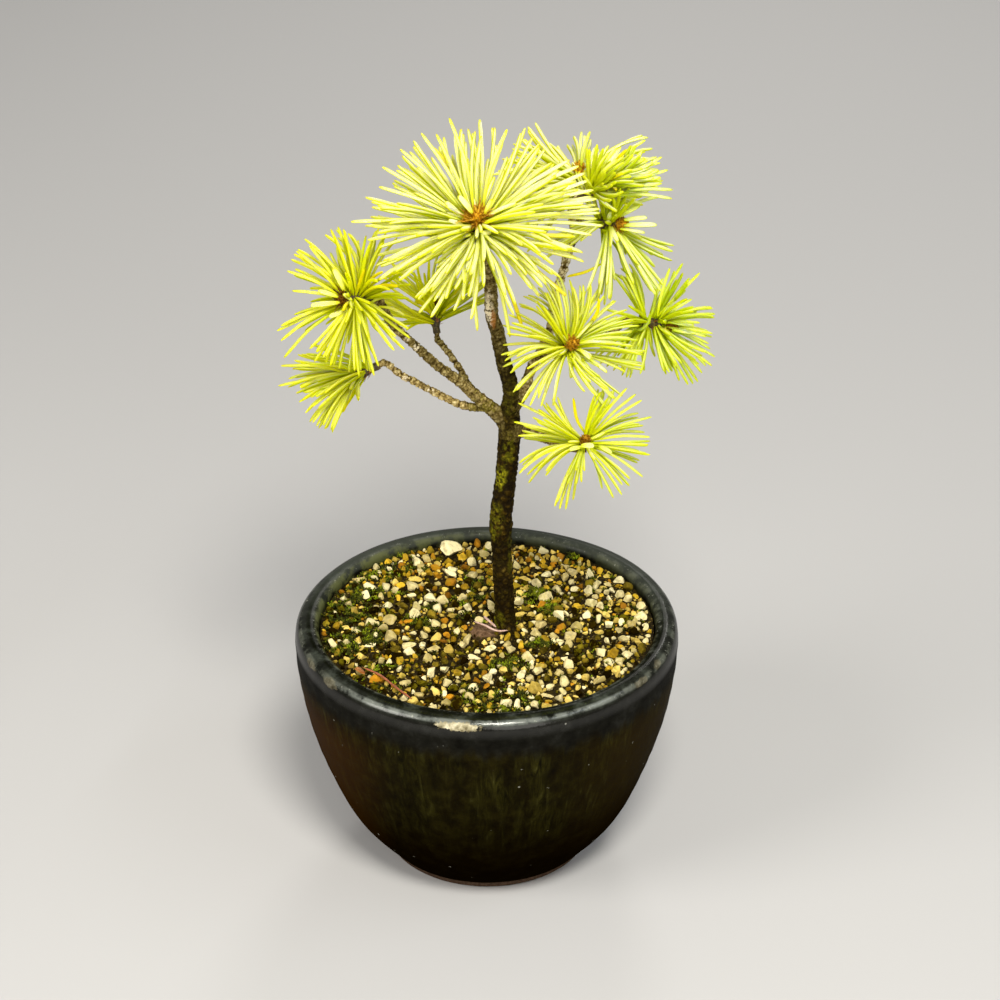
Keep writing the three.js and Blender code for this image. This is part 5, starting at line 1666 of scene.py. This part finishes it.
def earth_material():
    look = Look("earth")
    mottle = look.noise(1.1, 5, 0.7)
    look.colour = mottle.ramp(
        (0.3, 0.004, 0.0025, 0.0005), (0.5, 0.014, 0.009, 0.0015), (0.66, 0.045, 0.03, 0.004),
        (0.8, 0.15, 0.1, 0.015))
    crumbs = look.cells(0.75).span(0.42, 0.3) * look.noise(1.6, 2).span(0.5, 0.56)
    look.lay(crumbs, look.noise(0.9, 2).ramp(
        (0.35, 0.05, 0.03, 0.004), (0.5, 0.16, 0.11, 0.02), (0.65, 0.36, 0.28, 0.09)))
    green = look.number("mossy").span(0.25, 0.7) * mottle.span(0.35, 0.55)
    look.lay(green * 0.85, mottle.ramp(
        (0.35, 0.008, 0.009, 0.0005), (0.55, 0.03, 0.034, 0.001), (0.75, 0.1, 0.11, 0.003)))
    mound = look.mark((*CLAY_SPOT[:2], SOIL_HEIGHT + 2), (CLAY_SPOT[2] + 1, CLAY_SPOT[2], 4), mottle)
    look.lay(mound, mottle.ramp(
        (0.3, 0.035, 0.019, 0.008), (0.5, 0.12, 0.068, 0.035), (0.7, 0.29, 0.18, 0.105)))
    return look.done(
        Roughness=mottle.span(0.3, 0.7, 0.95, 0.7), Normal=look.noise(0.4, 4, 0.7).bump(0.2),
        Specular_IOR_Level=0.08)


def make_moss():
    rng = np.random.default_rng(MOSS_SEED)
    tufts, tries, leaves = 4000, 5, 5
    distance = GRAVEL_REACH * np.sqrt(rng.uniform(0, 1, tufts * tries))
    angle = rng.uniform(0, 2 * math.pi, tufts * tries)
    x, y = distance * np.cos(angle), distance * np.sin(angle)
    keep = rng.uniform(0, 1, len(x)) < moss_share(x, y) ** 1.4
    for px, py, clear in ((*TRUNK_FOOT, 2.6), *((px, py, 0.95 * pr) for px, py, pr in PEBBLES)):
        keep &= np.hypot(x - px, y - py) > clear
    x, y = x[keep][:tufts], y[keep][:tufts]
    height = ground(x, y) + 0.9 * moss_share(x, y) * rng.uniform(0.3, 1, len(x))
    count = len(x) * leaves
    foot = np.repeat(np.stack([x, y, height - 0.3], -1), leaves, axis=0)
    foot[:, :2] += rng.normal(0, 0.2, (count, 2))
    turn = rng.uniform(0, 2 * math.pi, count)
    lean = rng.uniform(0.2, 1.1, count)
    direction = unit(np.stack([np.cos(turn) * lean, np.sin(turn) * lean, np.full(count, 1.0)], -1))
    length = rng.uniform(0.8, 1.5, count)
    side, up = sides_of(direction)

    def ring(share, width):
        middle = foot + direction * (length * share)[:, None]
        return np.stack([
            middle + side * width * math.cos(c) + up * width * math.sin(c)
            for c in np.radians([90, 210, 330])], axis=1)

    rings = np.stack([ring(0.0, 0.14), ring(0.6, 0.22)], axis=1)
    ends = foot + direction * length[:, None] - np.array([0, 0, 0.15]) * lean[:, None]
    bright = 0.35 * np.exp(-(((x - 15.5) ** 2 + (y - 11.5) ** 2) / 50)) + 0.9 * rng.uniform(0, 1, len(x)) ** 3
    reach = [0, 0, 0, 0.6, 0.6, 0.6, 0, 1.0]
    numbers = {"bright": np.repeat(bright, leaves * len(reach)), "reach": np.tile(reach, count)}
    make_piece("soil.moss", joined([loft(rings, ends)]), [MOSS_MATERIAL], (), numbers)


def moss_material():
    look = Look("moss")
    mottle = look.noise(1.7)
    look.colour = (look.number("bright") * 0.4 + mottle * 0.75).ramp(
        (0.25, 0.014, 0.017, 0.0005), (0.45, 0.055, 0.065, 0.001), (0.6, 0.2, 0.22, 0.003),
        (0.8, 0.3, 0.42, 0.006))
    look.lay(look.number("reach").span(1.0, 0.1, 0.0, 0.8), (0.008, 0.008, 0.002))
    return look.done(
        Roughness=mottle.span(0.3, 0.7, 0.7, 0.5), Subsurface_Weight=0.1,
        Subsurface_Radius=(0.0003, 0.0006, 0.0001), Specular_IOR_Level=0.12)


# Litter on the gravel: a bud scale, a fallen needle and two curled scales at the trunk's foot


def strand(spots, radius, flat):
    """A thin strand over the ground through spots of x, y and height over it, tapered at both ends."""
    steps = 24
    shares = np.linspace(0, 1, steps)
    line, _ = along_curve(np.array([on_ground(*spot) for spot in spots]), shares)
    side, up = sides_of(unit(np.gradient(line, axis=0)))
    r = radius * (0.25 + 0.75 * smoothstep(0, 0.12, np.minimum(shares, np.linspace(1, 0, steps))))
    return loft(tube(line, side, up, r[:, None], circle(8), flat)[None])


def on_ground(x, y, lift):
    return (x, y, float(ground(np.array([x]), np.array([y]))[0]) + lift)


def make_litter():
    needle = strand(
        ((-31.7, -23.3, 2.0), (-27, -27.2, 2.1), (-23.2, -31.5, 1.5), (-18.6, -37.6, 1.5)), 0.31, 0.7)
    scale = blades((
        (np.array(on_ground(-32.9, -22.4, 1.4)), (0.35, -0.95, 0.12), (0, 0, 1.0), 6.2, 1.7, 0.12),
        (np.array(on_ground(-33.4, -23.2, 1.6)), (0.5, -0.8, 0.0), (0.3, 0, 1.0), 5.0, 1.2, 0.3),
    ), 0.16)
    curls = [
        strand(((-3.4, -3.6, 1.9), (-0.6, -6.4, 2.1), (2.6, -7.8, 2.1), (5.5, -7.2, 1.9)), 0.33, 0.6),
        strand(((-0.8, -2.6, 2.5), (0.3, -4.6, 2.4), (2.4, -6.9, 2.2)), 0.36, 0.6),
    ]
    names = ("litter.fallen_needle", "litter.bud_scale", "litter.curls")
    for name, parts, material in zip(names, ([needle], [scale], curls), LITTER_MATERIALS):
        make_piece(name, joined(parts), [material])


def litter_material(name, dark, pale):
    look = Look(f"litter_{name}")
    mottle = look.noise(1.2, 4, 0.6)
    look.colour = mottle.ramp((0.3, *dark), (0.7, *pale))
    return look.done(Roughness=mottle.span(0.3, 0.7, 0.65, 0.45), Normal=look.noise(0.3).bump(0.05))


def screen_material():
    look = Look("screen")
    mottle = look.noise(3, 4)
    look.colour = mottle.ramp((0.3, 0.012, 0.03, 0.02), (0.7, 0.03, 0.06, 0.035))
    weave = look.add("TexWave", "Fac", {"Vector": look.place, "Scale": 1.6})
    return look.done(Roughness=mottle.span(0.3, 0.7, 0.65, 0.45), Normal=weave.bump(0.05, 0.6))


# Camera, floor and light


def make_camera():
    pitch = math.radians(CAMERA_PITCH)
    forward = Vector((0, math.cos(pitch), -math.sin(pitch)))
    data = bpy.data.cameras.new("camera")
    data.sensor_width = SENSOR
    data.lens = CAMERA_LENS
    data.clip_start = 0.01
    camera = new_object("camera", data)
    camera.location = Vector(AXIS) + (Vector(CAMERA_TARGET) - CAMERA_DISTANCE * forward) * MM
    camera.rotation_euler = (math.pi / 2 - pitch, 0, 0)
    bpy.context.scene.camera = camera


def make_floor():
    half = FLOOR_HALF
    points = np.array([(-half, -half, 0), (half, -half, 0), (half, half, 0), (-half, half, 0)])
    mesh = raw_mesh("floor", points, np.array([[0, 1, 2, 3]]), NO_TRIANGLES)
    material = bpy.data.materials.new("floor")
    material.use_nodes = True
    shader = material.node_tree.nodes["Principled BSDF"]
    shader.inputs["Base Color"].default_value = (0.5, 0.5, 0.5, 1)
    shader.inputs["Roughness"].default_value = 0.8
    mesh.materials.append(material)
    new_object("floor", mesh)


def make_light(name, place, size, power, colour, height=None):
    """A round soft light, or one that is size wide where a height is given."""
    data = bpy.data.lights.new(name, "AREA")
    data.shape = "RECTANGLE" if height else "DISK"
    data.size = size
    data.size_y = height or size
    data.energy = power
    data.color = colour
    light = new_object(name, data)
    light.location = place
    aim = Vector((0, 0, 0.1)) - Vector(place)
    light.rotation_euler = aim.to_track_quat("-Z", "Y").to_euler()


def make_stage():
    make_camera()
    make_floor()
    for light in LIGHTS:
        make_light(*light)
    world = bpy.data.worlds.new("world")
    world.use_nodes = True
    background = world.node_tree.nodes["Background"]
    background.inputs["Color"].default_value = (1.0, 0.98, 0.95, 1)
    background.inputs["Strength"].default_value = 0.2
    bpy.context.scene.world = world
    bpy.context.scene.view_settings.view_transform = "Standard"


NEEDLE_MATERIAL = needle_material()
SHOOT_MATERIAL = shoot_material()
BUD_MATERIAL = bud_material()
BARK_MATERIAL = bark_material()
GLAZE_MATERIAL = glaze_material()
EARTH_MATERIAL = earth_material()
MOSS_MATERIAL = moss_material()
GRAIN_MATERIALS = [grain_material(*row) for row in GRAIN_COLOURS]
LITTER_MATERIALS = [
    litter_material("needle", (0.16, 0.035, 0.012), (0.4, 0.12, 0.04)),
    litter_material("scale", (0.3, 0.08, 0.012), (0.7, 0.28, 0.05)),
    litter_material("curl", (0.34, 0.2, 0.15), (0.66, 0.46, 0.38)),
]

make_stage()
make_pot()
make_earth()
make_gravel()
make_moss()
make_litter()
make_wood()
settled, singles = place_sprays()
for name, plan in SPRAYS.items():
    spray_needles(name, plan, settled[name], singles[name])
    spray_shoot(name, plan, settled[name])
    spray_bud(name, plan)

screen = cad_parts["drain_screen"]
screen.data.materials.clear()
screen.data.materials.append(screen_material())
